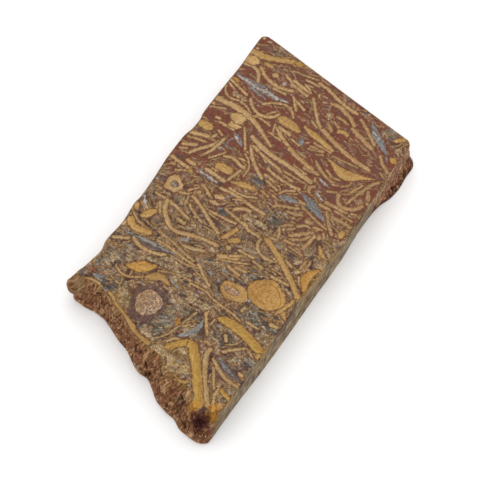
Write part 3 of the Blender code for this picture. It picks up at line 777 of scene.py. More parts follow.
def cut_tile(loop, chips, left, right):
    """Triangles of the part of a face between two x values, and the chip that each lies in."""
    points, edges, faces, numbers = [], [], [], []

    def add_line(run):
        start = len(points)
        points.extend(Vector(spot) for spot in run)
        edges.extend((n, n + 1) for n in range(start, len(points) - 1))

    near = (loop[:, 0] > left - TILE_LAP) & (loop[:, 0] < right + TILE_LAP)
    for index in np.flatnonzero(near):
        add_line([loop[index], loop[(index + 1) % len(loop)]])
    low, high = loop[:, 1].min() - 1.0, loop[:, 1].max() + 1.0
    rows = np.arange(low, high + GROUND_GAP, GROUND_GAP)
    for x in (left, right):
        add_line([(x, y) for y in rows])
    for column, x in enumerate(np.arange(left + 1.0, right - 0.5, GROUND_GAP)):
        points.extend(Vector((x, y + column % 2)) for y in rows)
    for number, chip in enumerate(chips):
        outline = chip["outline"]
        if outline[:, 0].max() > left and outline[:, 0].min() < right:
            start = len(points)
            points.extend(Vector(spot) for spot in outline)
            faces.append(list(range(start, len(points))))
            numbers.append(number)
            add_line(chip["line"])
    spots, _, triangles, _, _, origins = delaunay_2d_cdt(points, edges, faces, 0, TINY)
    spots, triangles = np.array([spot[:] for spot in spots]), np.array(triangles)
    middles = spots[triangles].mean(axis=1)
    kept = (middles[:, 0] > left) & (middles[:, 0] < right) & inside(middles, loop)
    owners = [max((numbers[n] for n in found), default=-1) for found in origins]
    return spots, triangles[kept], np.array(owners)[kept]


print("tiles are", TILE, "mm wide")

# %% Cut both faces
def cut_face(loop, chips):
    """Every tile of a face: lists of spots, triangles and owners."""
    left = loop[:, 0].min() - 1.0
    tiles = []
    while left < loop[:, 0].max():
        tiles.append(cut_tile(loop, chips, left, left + TILE))
        left += TILE
    return tiles


def flat(loop):
    return np.array([spot[:2] for spot in loop])


upper_tiles = cut_face(flat(face_edge), upper_strips)
lower_tiles = cut_face(flat(base_edge), lower_strips)
for name, tiles in (("upper", upper_tiles), ("lower", lower_tiles)):
    print(name, "face:", sum(len(tile[1]) for tile in tiles), "triangles")

# %% [markdown]
# ## One closed stone
#
# The faces and the wall have to share every vertex along the eased edges, or the stone would not
# be watertight. The cut faces have extra vertices there, where strips run out over the edge, so
# each field of the eased edge is filled as one polygon with all of them, and then triangulated.

# %% Join faces and wall
GROUND, WALL = -1, -2      # owners that are no strip
WELD = 1e-4
run_along = np.concatenate([[0.0], np.cumsum(
    [math.dist(columns[n][:2], columns[(n + 1) % len(columns)][:2]) for n in range(len(columns))])])
stone = bmesh.new()
owner_layer = stone.faces.layers.int.new("owner")
wall_layer = stone.loops.layers.float_vector.new("wall")
rough_layer = stone.verts.layers.float.new("rough")
relief_layer = stone.verts.layers.float.new("relief")


def add_cut_face(tiles, height, first_owner, upward):
    """The triangles of a cut face, joined at the borders of the tiles."""
    made = []
    for spots, triangles, owners in tiles:
        verts = {n: stone.verts.new((*spots[n], height)) for n in np.unique(triangles)}
        for corners, number in zip(triangles, owners):
            order = corners if upward else corners[::-1]
            face = stone.faces.new([verts[n] for n in order])
            face[owner_layer] = first_owner + number if number >= 0 else GROUND
        made += verts.values()
    bmesh.ops.remove_doubles(stone, verts=made, dist=WELD)


def edge_walk(height):
    """The vertices along the border of a cut face, each with the one after it."""
    following = {}
    for edge in stone.edges:
        if edge.is_boundary and abs(edge.verts[0].co.z - height) < TINY:
            corner = edge.link_loops[0]
            following[corner.vert] = corner.link_loop_next.vert
    return following


def search_tree(spots):
    """A tree that soon finds the nearest of these spots."""
    tree = KDTree(len(spots))
    for number, spot in enumerate(spots):
        tree.insert(spot, number)
    tree.balance()
    return tree


def stretches(following, spots):
    """For each column, the border vertices from it up to the next column's."""
    verts = list(following)
    tree = search_tree([vert.co for vert in verts])
    at_column = [verts[tree.find(spot)[1]] for spot in spots]
    found = []
    for index, vert in enumerate(at_column):
        goal = at_column[(index + 1) % len(at_column)]
        stretch = [vert]
        while stretch[-1] is not goal:
            stretch.append(following[stretch[-1]])
        found.append(stretch)
    return found


print("wall of", round(run_along[-1], 1), "mm round the stone")

# %% Both faces in one mesh
add_cut_face(upper_tiles, THICKNESS, 0, True)
upper_walk = edge_walk(THICKNESS)
add_cut_face(lower_tiles, 0.0, len(upper_strips), False)
lower_walk = {after: before for before, after in edge_walk(0.0).items()}
upper_stretches = stretches(upper_walk, face_edge)
lower_stretches = stretches(lower_walk, base_edge)
print(len(stone.faces), "triangles in the two faces")

# %% Build the wall and the eased edges between the faces
def add_wall_loop(spots, reliefs):
    """Vertices of one level loop of the wall."""
    loop = []
    for spot, height, column in zip(spots, reliefs, columns):
        vert = stone.verts.new(spot)
        vert[rough_layer] = column[4]
        vert[relief_layer] = height
        loop.append(vert)
    return loop


def add_field(verts, index, spans):
    """One face of the wall; spans says for each corner whether it lies at this column or the next."""
    face = stone.faces.new(verts)
    face[owner_layer] = WALL
    for corner, share in zip(face.loops, spans):
        along = run_along[index] + share * (run_along[index + 1] - run_along[index])
        corner[wall_layer] = (along, corner.vert.co.z, 0.0)
    return face


loops = [add_wall_loop(spots, reliefs) for spots, reliefs in wall_loops]
edge_fields = []
for index in range(len(columns)):
    after = (index + 1) % len(columns)
    for lower, upper in zip(loops, loops[1:]):
        field = add_field((lower[index], lower[after], upper[after], upper[index]), index, (0, 1, 1, 0))
        field.smooth = True
    above = upper_stretches[index][::-1]
    shares = list(np.linspace(1.0, 0.0, len(above)))
    edge_fields.append(add_field([loops[-1][index], loops[-1][after]] + above, index, [0, 1] + shares))
    below = lower_stretches[index]
    shares = list(np.linspace(0.0, 1.0, len(below)))
    edge_fields.append(add_field(below + [loops[0][after], loops[0][index]], index, shares + [1, 0]))
for face in edge_fields:
    for edge in face.edges:
        edge.smooth = False
bmesh.ops.triangulate(stone, faces=edge_fields)
open_edges = sum(1 for edge in stone.edges if len(edge.link_faces) != 2)
print(len(stone.faces), "faces,", open_edges, "open edges,", round(stone.calc_volume()), "cubic mm")

# %% [markdown]
# ## What each triangle knows
#
# A shader can't ask which strip it is painting. So every corner of the mesh carries that: the
# strip's colour and how much of it covers the ground, how far along and across the strip the
# corner lies, and how far it is from the strip's rim. Ground vertices carry how full of litter,
# how bluish, how red and how ochre the stone is there, and how far the next strip is.

# %% Values of the mesh, read and stored
mesh = bpy.data.meshes.new("jasper_slab")
stone.to_mesh(mesh)
stone.free()


def read(collection, name, width=1, kind=float):
    """A value, or a row of values, of every item of a collection."""
    values = np.zeros(width * len(collection), kind)
    collection.foreach_get(name, values)
    return values.reshape(-1, width) if width > 1 else values


def store(name, kind, domain, field, values):
    """A new attribute of the mesh, with a value for every corner or vertex."""
    mesh.attributes.new(name, kind, domain).data.foreach_set(field, np.ravel(values))


spots = read(mesh.vertices, "co", 3)
corner_spot = spots[read(mesh.loops, "vertex_index", kind=int)]
owners = read(mesh.attributes["owner"].data, "value", kind=int)
sizes = read(mesh.polygons, "loop_total", kind=int)
print(len(spots), "vertices and", len(corner_spot), "corners")

# %% Distances to a line, and what they tell each corner
EVEN_GRAIN = (3.0, 0.36)  # makes up for the streaks' stretch where a stem is cut across
NO_RIM = 3.0              # widths of a rim from the edge: anything well inside
STRIP_SHIFT = 17.0        # moves the streaks of each strip on, so that no two are alike


def to_line(spots, line):
    """Distance from each spot to a line, how far along it, and on which side."""
    start, step = line[:-1], np.diff(line, axis=0)
    length = np.maximum(np.linalg.norm(step, axis=1), TINY)
    gap = spots[:, None, :] - start[None]
    share = np.clip((gap * step).sum(axis=2) / length ** 2, 0.0, 1.0)
    distance = np.linalg.norm(gap - share[:, :, None] * step, axis=2)
    nearest = distance.argmin(axis=1)
    rows = np.arange(len(spots))
    before = np.concatenate([[0.0], np.cumsum(length)])
    along = before[nearest] + share[rows, nearest] * length[nearest]
    cross = step[nearest, 0] * gap[rows, nearest, 1] - step[nearest, 1] * gap[rows, nearest, 0]
    return distance[rows, nearest], along, np.sign(cross)


def corner_values(spots, corner_owner, chips):
    """Colour, and place in the strip, of every corner of the mesh."""
    colour, place_in_strip = np.zeros((len(spots), 4)), np.zeros((len(spots), 3))
    speckled = np.zeros(len(spots))
    vary = np.random.default_rng(SEED)
    order = np.argsort(corner_owner, kind="stable")
    bounds = np.searchsorted(corner_owner[order], np.arange(len(chips) + 1))
    for number, chip in enumerate(chips):
        paint, cover, spread = KINDS[chip["kind"]]
        bright = 1.0 + spread * vary.standard_normal()
        warm = 1.0 + 0.4 * spread * vary.standard_normal()
        found = order[bounds[number]:bounds[number + 1]]
        if len(found) == 0:
            continue
        across, along, side = to_line(spots[found], chip["line"])
        rim = to_line(spots[found], np.concatenate([chip["outline"], chip["outline"][:1]]))[0]
        colour[found] = (paint[0] * bright * warm, paint[1] * bright, paint[2] * bright / warm, cover)
        speckled[found] = chip["kind"] in SPECKLED
        if chip["kind"] in CUT_ACROSS:
            along, across = ((spots[found] - chip["outline"].mean(axis=0)) * EVEN_GRAIN).T
            side = 1.0
        rim = rim / RIM if chip["kind"] not in RIMLESS else np.full(len(found), NO_RIM)
        place_in_strip[found] = np.stack([along + STRIP_SHIFT * number, across * side, rim], axis=1)
    return colour, place_in_strip, speckled


colour, place_in_strip, speckled = corner_values(
    corner_spot[:, :2], np.repeat(owners, sizes), upper_strips + lower_strips)
store("fossil", "FLOAT_COLOR", "CORNER", "color", colour)
store("strip", "FLOAT_VECTOR", "CORNER", "vector", place_in_strip)
store("speckled", "FLOAT", "CORNER", "value", speckled)
print(len(colour), "corners painted")

# %% Soft zones of the ground
ZONES = [                 # x, y, radius, then what is added to litter, blue, red and ochre
    (-33, 23, 2.6, 0, 0.8, 0, 0), (-32.3, -22.8, 2.2, 0, 0.7, 0, 0), (-13, 2, 2.2, 0.2, 0.6, 0, 0),
    (-18.5, -16, 2.6, 0.2, 0.9, 0, 0), (4.8, 9.1, 1.4, 0, 0.8, 0, 0), (37.5, 2.5, 1.6, 0.4, 0.7, -0.3, 0),
    (19.5, 6, 2.4, 0.5, 0.8, -0.4, 0), (12, -4, 3.4, 0.4, 0.6, -0.3, 0), (21, -12, 2.5, 0.2, 0.7, 0, 0),
    (-33.5, 4, 3.5, 0.5, 0.3, 0, 0), (-30, 28, 4, 0.4, 0.2, 0, 0), (-28, -10, 4, 0.3, 0.1, 0, 0),
    (60.5, 24, 3.6, 0.8, 0.4, -0.5, 0), (55, 12, 7, 0.3, 0, 0, 0), (54.8, -18.5, 2.6, 0.7, 0.6, -0.6, 0),
    (51.2, -22.8, 2.4, 0.7, 0.4, -0.6, 0.3), (56.8, -8.5, 1.6, 0.6, 0.5, -0.5, 0),
    (57.6, -1, 1.5, 0.6, 0.4, -0.5, 0), (-41.5, -5.5, 4.8, 0.1, -0.5, 0, 1),
    (-34, 18.5, 3.5, 0.1, -0.4, 0, 1), (-42.5, 2.5, 2.6, 0, -0.5, 0, 1),
    (-18.4, -22.3, 2, 0.2, 0.9, 0, 0), (-45, -18, 5, 0, 0, 0, 0.7), (-11, 15, 4, 0.3, 0, 0, 0.4),
]


WEST_GROUND, EAST_GROUND = (0.62, 0.36, 0.05, 0.12), (0.12, 0.08, 1.0, 0.0)   # the same four, far out


def smoothstep(low, high, value):
    """0 below low, 1 above high, smooth between."""
    share = np.clip((value - low) / (high - low), 0.0, 1.0)
    return share * share * (3.0 - 2.0 * share)


def ground_zones(x, y):
    """How full of litter, how bluish, how red and how ochre the ground is, at each place."""
    def near(zone_x, zone_y, radius):
        return np.exp(-((x - zone_x) ** 2 + (y - zone_y) ** 2) / radius ** 2)[:, None]

    east = smoothstep(-12.0, 32.0, x + 0.2 * y)
    zones = np.array(WEST_GROUND) + east[:, None] * (np.array(EAST_GROUND) - WEST_GROUND)
    for *zone, litter, blue, red, ochre in ZONES:
        zones += near(*zone) * np.array((litter, blue, red, ochre))
    for places, wanted in ((CLEAR_GROUND, (0.0, 0.0, 1.0, 0.0)), (DARK_GROUND, (0.0, 0.0, 0.35, 0.0))):
        for zone in places:
            zones += near(*zone) * (np.array(wanted) - zones)
    return np.clip(zones, 0.0, 1.0)


store("ground", "FLOAT_COLOR", "POINT", "color", ground_zones(spots[:, 0], spots[:, 1]))
borders = search_tree([(x, y, 0.0) for strip in placed for x, y in strip["outline"]])
room = [borders.find((x, y, 0.0))[2] for x, y, _ in spots]
store("room", "FLOAT", "POINT", "value", room)
print("most room between strips, in mm", round(max(room), 1))

# %% [markdown]
# ## A map of the surface
#
# Other programs show this stone with one square picture wrapped on it. The map says where on that
# picture each corner lies: the upper face gets most of the room, as it carries the small strips,
# the lower face less, and the wall is laid out in five rows at the foot.

# %% The upper face on top, the lower face and the wall below it
MAP_MARGIN = 0.005
UPPER_SCALE, UPPER_FOOT = 0.99 / 120.6, 0.46      # map per millimetre, and where the face begins
LOWER_SCALE, LOWER_FOOT = 0.5 / 120.6, 0.19
WALL_ROWS, WALL_ROW_HEIGHT = 5, 0.036
ROW_FILL, HEIGHT_FILL = 0.96, 0.9         # shares of a row that the wall takes up
low = corner_spot.min(axis=0)
along, height, _ = read(mesh.attributes["wall"].data, "vector", 3).T
first_corner = np.concatenate([[0], np.cumsum(sizes)[:-1]])
row_length = run_along[-1] / WALL_ROWS
row = np.repeat(np.floor(np.minimum.reduceat(along, first_corner) / row_length), sizes)
on_wall = np.repeat(owners == WALL, sizes)
looks_up = ~on_wall & (corner_spot[:, 2] > THICKNESS / 2)
uv = np.zeros((len(mesh.loops), 2))
for shown, scale, foot in ((looks_up, UPPER_SCALE, UPPER_FOOT),
                           (~on_wall & ~looks_up, LOWER_SCALE, LOWER_FOOT)):
    uv[shown] = MAP_MARGIN + (corner_spot - low)[shown, :2] * scale + (0.0, foot)
uv[on_wall, 0] = MAP_MARGIN + ROW_FILL * (along - row * row_length)[on_wall] / row_length
uv[on_wall, 1] = MAP_MARGIN + WALL_ROW_HEIGHT * (row + HEIGHT_FILL * height / THICKNESS)[on_wall]
mesh.uv_layers.new(name="OFBake").uv.foreach_set("vector", uv.ravel())
print("map from", uv.min(axis=0).round(3), "to", uv.max(axis=0).round(3))

# %% Materials by part, and the place in the frame
def show(name, data):
    """A new object of the scene, from a mesh, a light or a camera."""
    thing = bpy.data.objects.new(name, data)
    bpy.context.scene.collection.objects.link(thing)
    return thing


mesh.polygons.foreach_set("material_index", (owners == WALL).astype(int))
mesh.transform(Matrix.Translation(SHIFT * MM) @ Matrix.Scale(MM, 4))
mesh.update()
slab = show("jasper_slab", mesh)
print("slab of", sum(len(face.vertices) - 2 for face in mesh.polygons), "triangles")

# %% [markdown]
# ## The finish of the stone
#
# Both materials are node trees that work in millimetres. A few helpers keep them short: each adds
# one node, feeds it with constants or with other nodes, and hands back what it gives.

# %% One node, and arithmetic with what it gives
def add_node(tree, kind, feeds=None, **settings):
    """A node whose inputs are fed with constants or with what other nodes give."""
    node = tree.nodes.new(kind)
    for name, value in settings.items():
        setattr(node, name, value)
    for name, value in (feeds or {}).items():
        value = value.socket if isinstance(value, Wire) else value
        if isinstance(value, bpy.types.NodeSocket):
            tree.links.new(value, node.inputs[name])
        else:
            node.inputs[name].default_value = value
    return node


class Wire:
    """What a shader node gives. To add to it, take from it or multiply it adds a maths node."""

    def __init__(self, finish, socket):
        self.finish = finish
        self.socket = socket

    def __add__(self, other):
        return self.finish.maths("ADD", self, other)

    def __radd__(self, other):
        return self.finish.maths("ADD", other, self)

    def __sub__(self, other):
        return self.finish.maths("SUBTRACT", self, other)

    def __rsub__(self, other):
        return self.finish.maths("SUBTRACT", other, self)

    def __mul__(self, other):
        return self.finish.maths("MULTIPLY", self, other)

    def __abs__(self):
        return self.finish.maths("ABSOLUTE", self)


print("helpers for node trees are ready")

# %% One material under construction
GLOSS = 0.22              # specular level of all finishes


class Finish:
    """One material under construction."""

    def __init__(self, name):
        self.material = bpy.data.materials.new(name)
        self.material.use_nodes = True
        self.tree = self.material.node_tree
        self.shader = self.tree.nodes["Principled BSDF"]
        self.shader.inputs["Specular IOR Level"].default_value = GLOSS
        spot = self.add("Object", "ShaderNodeTexCoord")
        self.spot = self.add("Vector", "ShaderNodeMapping", {"Vector": spot, "Scale": 3 * (1.0 / MM,)})

    def add(self, output, kind, feeds=None, **settings):
        """One output of a new node."""
        return Wire(self, add_node(self.tree, kind, feeds, **settings).outputs[output])

    def attribute(self, name, output="Fac"):
        return self.add(output, "ShaderNodeAttribute", attribute_name=name)

    def split(self, vector):
        node = add_node(self.tree, "ShaderNodeSeparateXYZ", {"Vector": vector})
        return [Wire(self, socket) for socket in node.outputs]

    def stretched(self, vector, x, y):
        """Coordinates divided by sizes in millimetres, so that a pattern gets those sizes."""
        return self.add("Vector", "ShaderNodeMapping", {"Vector": vector, "Scale": (1 / x, 1 / y, 1.0)})

    def turned(self, vector, angle):
        """Coordinates turned about z."""
        return self.add("Vector", "ShaderNodeMapping", {"Vector": vector, "Rotation": (0.0, 0.0, angle)})

    def noise(self, vector, size=1.0, detail=2.0, rough=0.5, output="Fac"):
        return self.add(output, "ShaderNodeTexNoise", {
            "Vector": vector, "Scale": 1.0 / size, "Detail": detail, "Roughness": rough})

    def cells(self, vector, output, feature="F1"):
        """A pattern of cells: the colour of each, or the distance from their walls."""
        return self.add(output, "ShaderNodeTexVoronoi", {"Vector": vector, "Scale": 1.0},
                        voronoi_dimensions="2D", feature=feature)

    def vectors(self, operation, output, feeds):
        return self.add(output, "ShaderNodeVectorMath", feeds, operation=operation)

    def warped(self, vector, size, reach):
        """Coordinates pushed about by a soft noise, by up to about reach."""
        push = self.noise(vector, size, 1.0, output="Color")
        push = self.vectors("SUBTRACT", "Vector", {0: push, 1: (0.5, 0.5, 0.5)})
        push = self.vectors("SCALE", "Vector", {0: push, "Scale": 2.0 * reach})
        return self.vectors("ADD", "Vector", {0: vector, 1: push})

    def maths(self, operation, *values):
        return self.add("Value", "ShaderNodeMath", dict(enumerate(values)), operation=operation)

    def around(self, value, reach):
        """A noise value turned into a push of up to about reach to either side."""
        return (value - 0.5) * (2.0 * reach)

    def step(self, value, low, high):
        """0 below low, 1 above high, smooth between."""
        feeds = {"Value": value, "From Min": low, "From Max": high}
        return self.add("Result", "ShaderNodeMapRange", feeds, interpolation_type="SMOOTHSTEP")

    def ramp(self, value, stops):
        """Colours, or grey values, at stops of a value."""
        node = add_node(self.tree, "ShaderNodeValToRGB", {"Fac": value})
        band = node.color_ramp
        while len(band.elements) < len(stops):
            band.elements.new(0.5)
        for element, (share, colour) in zip(band.elements, stops):
            element.position = share
            element.color = (*(colour if isinstance(colour, tuple) else 3 * (colour,)), 1.0)
        return Wire(self, node.outputs["Color"])

    def shades(self, value, *stops):
        """A ramp from rows of a stop and a colour as seen, in steps of 255."""
        return self.ramp(value, [(share, shade(*seen)) for share, *seen in stops])

    def mix(self, share, first, second, blend="MIX"):
        first, second = [(*paint, 1.0) if isinstance(paint, tuple) else paint for paint in (first, second)]
        return self.add(2, "ShaderNodeMix", {0: share, 6: first, 7: second}, data_type="RGBA",
                        blend_type=blend)

    def tint(self, colour, factor, share=1.0):
        """A colour multiplied by another, in full or by a share."""
        return self.mix(share, colour, factor, "MULTIPLY")

    def stain(self, colour, top, share, spot, radius):
        """A colour laid over another round a place of the readings, with a ragged border."""
        gap = self.vectors("DISTANCE", "Value", {0: self.spot, 1: tuple(Vector(spot) + SHIFT)})
        ragged = gap + self.around(self.noise(self.spot, 1.3, 4.0, 0.6), radius)
        return self.mix((1.0 - self.step(ragged, 0.45 * radius, 1.1 * radius)) * share, colour, top)

    def finish(self, colour, roughness, bump, depth):
        """Lead colour, roughness and bump to the shader. The depth is in metres."""
        relief = self.add("Normal", "ShaderNodeBump", {"Height": bump, "Distance": depth, "Strength": 1.0})
        for name, value in (("Base Color", colour), ("Roughness", roughness), ("Normal", relief)):
            self.tree.links.new(value.socket, self.shader.inputs[name])
        return self.material


# %% [markdown]
# ## The sawn face
#
# The ground is silica stained by iron: purple-brown at the left, red-brown at the right, with
# crumbs of tissue in it and bluish mottles where the chalcedony is clean. Strips lie over it. A
# strip's streaks follow its length, because the corners know how far along and across they are.

# %% Ground of the sawn faces
def face_ground(look, fine, medium):
    """Iron-stained silica: a net of tissue at the left, fibres in the middle, clear red at the right."""
    litter, bluish, red = look.split(look.attribute("ground", "Color"))
    ochre = look.attribute("ground", "Alpha")
    spot = look.spot
    room = look.step(look.attribute("room") + look.around(medium, 0.9), 0.15, 0.95)
    patches = look.noise(spot, 3.0, 2.0)
    drift = look.noise(look.warped(spot, 3.0, 1.5), 1.8, 2.0) * 0.6 + medium * 0.4
    near = look.shades(drift, (0.38, 86, 56, 44), (0.5, 110, 78, 62), (0.6, 130, 98, 78))
    far = look.shades(drift, (0.38, 94, 75, 67), (0.5, 122, 102, 87), (0.6, 150, 130, 109))
    left = look.mix(room, near, far)
    right = look.shades(medium, (0.3, 110, 62, 48), (0.5, 124, 74, 58), (0.7, 138, 86, 69))
    right = look.mix(look.step(look.noise(spot, 5.0, 2.0), 0.46, 0.62) * 0.6, right, shade(114, 82, 72))
    base = look.mix(look.step(red + look.around(look.noise(spot, 4.0, 3.0), 0.5), 0.2, 0.8), left, right)
    yellow = look.shades(medium, (0.3, 122, 92, 52), (0.5, 150, 122, 78), (0.7, 172, 144, 96))
    base = look.mix(look.step(ochre + look.around(look.noise(spot, 2.0, 4.0), 0.6), 0.3, 0.75), base,
                    yellow)

    hue = look.ramp(look.noise(spot, 4.2, 2.0), [(0.38, (1.1, 1.0, 0.86)), (0.5, (1.0, 1.0, 1.0)),
                                                 (0.62, (0.93, 0.99, 1.16))])
    base = look.tint(base, hue, 1.0 - red * 0.7)

    clean = look.step(litter + look.around(medium, 0.4), 0.34, 0.1) * look.step(red, 0.75, 0.45)
    base = look.mix(clean * 0.75, base, shade(96, 73, 63))

    bed = look.warped(look.stretched(look.warped(spot, 9.0, 3.0), 0.55, 2.1), 0.8, 0.4)
    kind, tint, there = look.split(look.cells(bed, "Color"))
    bits = look.shades(kind, (0.0, 92, 70, 52), (0.25, 126, 103, 79), (0.5, 152, 128, 99),
                       (0.7, 175, 150, 116), (0.88, 196, 170, 132), (1.0, 148, 140, 122))
    full = litter * (0.4 + room + look.around(patches, 3.0))
    bit_here = look.step(full - there * 0.9, -0.15, 0.1)
    inner = look.step(look.cells(bed, "Distance", "DISTANCE_TO_EDGE") + look.around(medium, 0.3), 0.0, 0.3)
    base = look.mix(bit_here * inner * 0.85, base, bits)

    threads = abs(look.noise(look.warped(spot, 1.6, 0.8), 1.7, 2.0, 0.6) - 0.5)
    net = look.step(threads + look.around(medium, 0.06), 0.06, 0.01)
    tissue = look.shades(medium, (0.35, 132, 106, 76), (0.5, 162, 137, 104), (0.65, 190, 165, 128))
    base = look.mix(net * look.step(full, 0.2, 0.9), base, tissue)

    mottle = look.shades(tint * 0.25 + fine * 0.35 + medium * 0.45, (0.36, 62, 54, 51), (0.52, 98, 91, 82),
                         (0.68, 148, 142, 128))
    bluish_here = look.step(bluish + look.around(look.noise(spot, 1.3, 4.0, 0.6), 0.7), 0.36, 0.62)
    base = look.mix(bluish_here * 0.85, base, mottle)
    base = look.tint(base, look.ramp(patches, [(0.36, 0.58), (0.5, 1.03), (0.64, 1.48)]), 1.0 - red * 0.85)
    return look.tint(base, look.ramp(fine, [(0.3, 0.82), (0.5, 1.0), (0.7, 1.18)]))


# %% Strips of the sawn faces
def face_strips(look, medium, ground):
    """The strips over the ground. Solid ones have a soft brown rim, thin ones let the ground through."""
    paint, cover = look.attribute("fossil", "Color"), look.attribute("fossil", "Alpha")
    strip = look.attribute("strip", "Vector")
    _, across, rim = look.split(strip)
    solid = look.step(cover, 0.8, 0.95)
    grain = look.noise(look.spot, 0.6, 2.0, 0.6)
    streaks = look.noise(look.stretched(strip, 2.8, 0.32), 1.0, 3.0, 0.6)
    tone = streaks * 0.5 + medium * 0.35 + grain * 0.35
    calm = look.ramp(tone, [(0.46, (0.64, 0.59, 0.46)), (0.54, (0.88, 0.86, 0.8)), (0.6, (1.0, 1.0, 1.0)),
                            (0.74, (1.38, 1.43, 1.54))])
    wild = look.ramp(tone, [(0.48, 0.5), (0.6, 0.95), (0.7, 1.4)])
    body = look.tint(paint, look.mix(solid, wild, calm))
    speckle = look.ramp(look.noise(look.spot, 0.42, 1.0), [(0.38, 0.5), (0.48, 0.95), (0.6, 1.4)])
    body = look.tint(body, speckle, look.step(look.attribute("speckled"), 0.2, 0.8))
    blotch = look.noise(look.stretched(strip, 2.4, 1.3), 1.0, 2.0)
    golden = look.step(blotch, 0.5, 0.62) * look.step(rim, 0.8, 2.4)
    body = look.tint(body, (1.03, 0.88, 0.64), golden * 0.6)
    bleached = look.step(blotch, 0.48, 0.36)
    body = look.tint(body, (1.0, 1.06, 1.22), bleached * 0.6)

    one_side = look.step(across + look.around(medium, 0.8), -0.3, 0.6)
    body = look.tint(body, (0.9, 0.85, 0.76), one_side * 0.8)
    body = look.tint(body, (1.06, 1.08, 1.12), 0.8 - one_side * 0.8)
    edge = rim + (look.around(grain, 0.9) + look.around(medium, 1.1))
    rimmed = look.mix(look.step(edge, 0.4, 2.2), look.mix(0.65, body, shade(132, 98, 60)), body)
    rimmed = look.mix(look.step(edge, -0.1, 1.0), shade(98, 66, 44), rimmed)
    body = look.mix(solid, body, rimmed)
    thin = look.step(cover + look.around(medium, 1.0), 0.2, 0.85) * look.step(edge, 0.0, 1.2)
    shown = look.mix(solid, thin, look.step(edge + 0.5, 0.0, 0.6))
    return look.mix(shown, ground, body), solid


# %% Material of the sawn faces
SAW_GRAIN, RIND_GRAIN, STUB_GRAIN = 0.00003, 0.00035, 0.0002      # depth of the bumps, in metres


def sawn_face_finish():
    """Ground, then strips, then the ochre spots, and the painted shade of the hollow at the front left
    corner.
    """
    look = Finish("sawn_face")
    fine = look.noise(look.spot, 0.35, 3.0, 0.65)
    medium = look.noise(look.spot, 0.9, 3.0, 0.6)
    ground = face_ground(look, fine, medium)
    colour, solid = face_strips(look, medium, ground)
    for spot, radius in (((-51.2, -17.4, THICKNESS), 2.4), ((-48.6, -23.6, THICKNESS), 2.8)):
        colour = look.stain(colour, look.shades(medium, (0.35, 158, 94, 28), (0.5, 192, 136, 52),
                                                (0.65, 208, 164, 88)), 0.85, spot, radius)
    # Painted shade: the dark of the hollow at the front left corner, where it meets the upper face
    colour = look.stain(colour, shade(84, 50, 29), 0.9, (-51.8, -20.9, THICKNESS), 2.4)
    roughness = look.ramp(solid * 0.4 + medium * 0.5, [(0.1, 0.38), (0.8, 0.52)])
    saw = look.noise(look.stretched(look.spot, 0.12, 9.0), 1.0, 2.0)
    bump = fine * 0.7 + saw * 0.3
    return look.finish(colour, roughness, bump, SAW_GRAIN)


sawn_face = sawn_face_finish()
slab.data.materials.append(sawn_face)
print(len(sawn_face.node_tree.nodes), "nodes in the sawn face")

# %% [markdown]
# ## The sawn walls, the rind and the broken ledge
#
# One material serves all sides, because on the stone they run into each other. How rough the wall
# is decides between the satin grey-brown of the saw cut, with streaks along the blade's path, and
# the rusty crust of the rind. Painted shade darkens the crust's pits and the hollow at the front left
# corner, a painted highlight lightens its raised grains, and painted shade darkens patches along the
# front wall's top edge.

# %% Material of the wall
FACE_EDGE = -25.2          # y of the edge between the upper face and the front wall
# Painted shade: a dark stain over the hollow near the front left corner, on the wall and on the stubs
HOLLOW_SHADE = (-53.4, -21.0, 8.0), 3.7    # place and radius


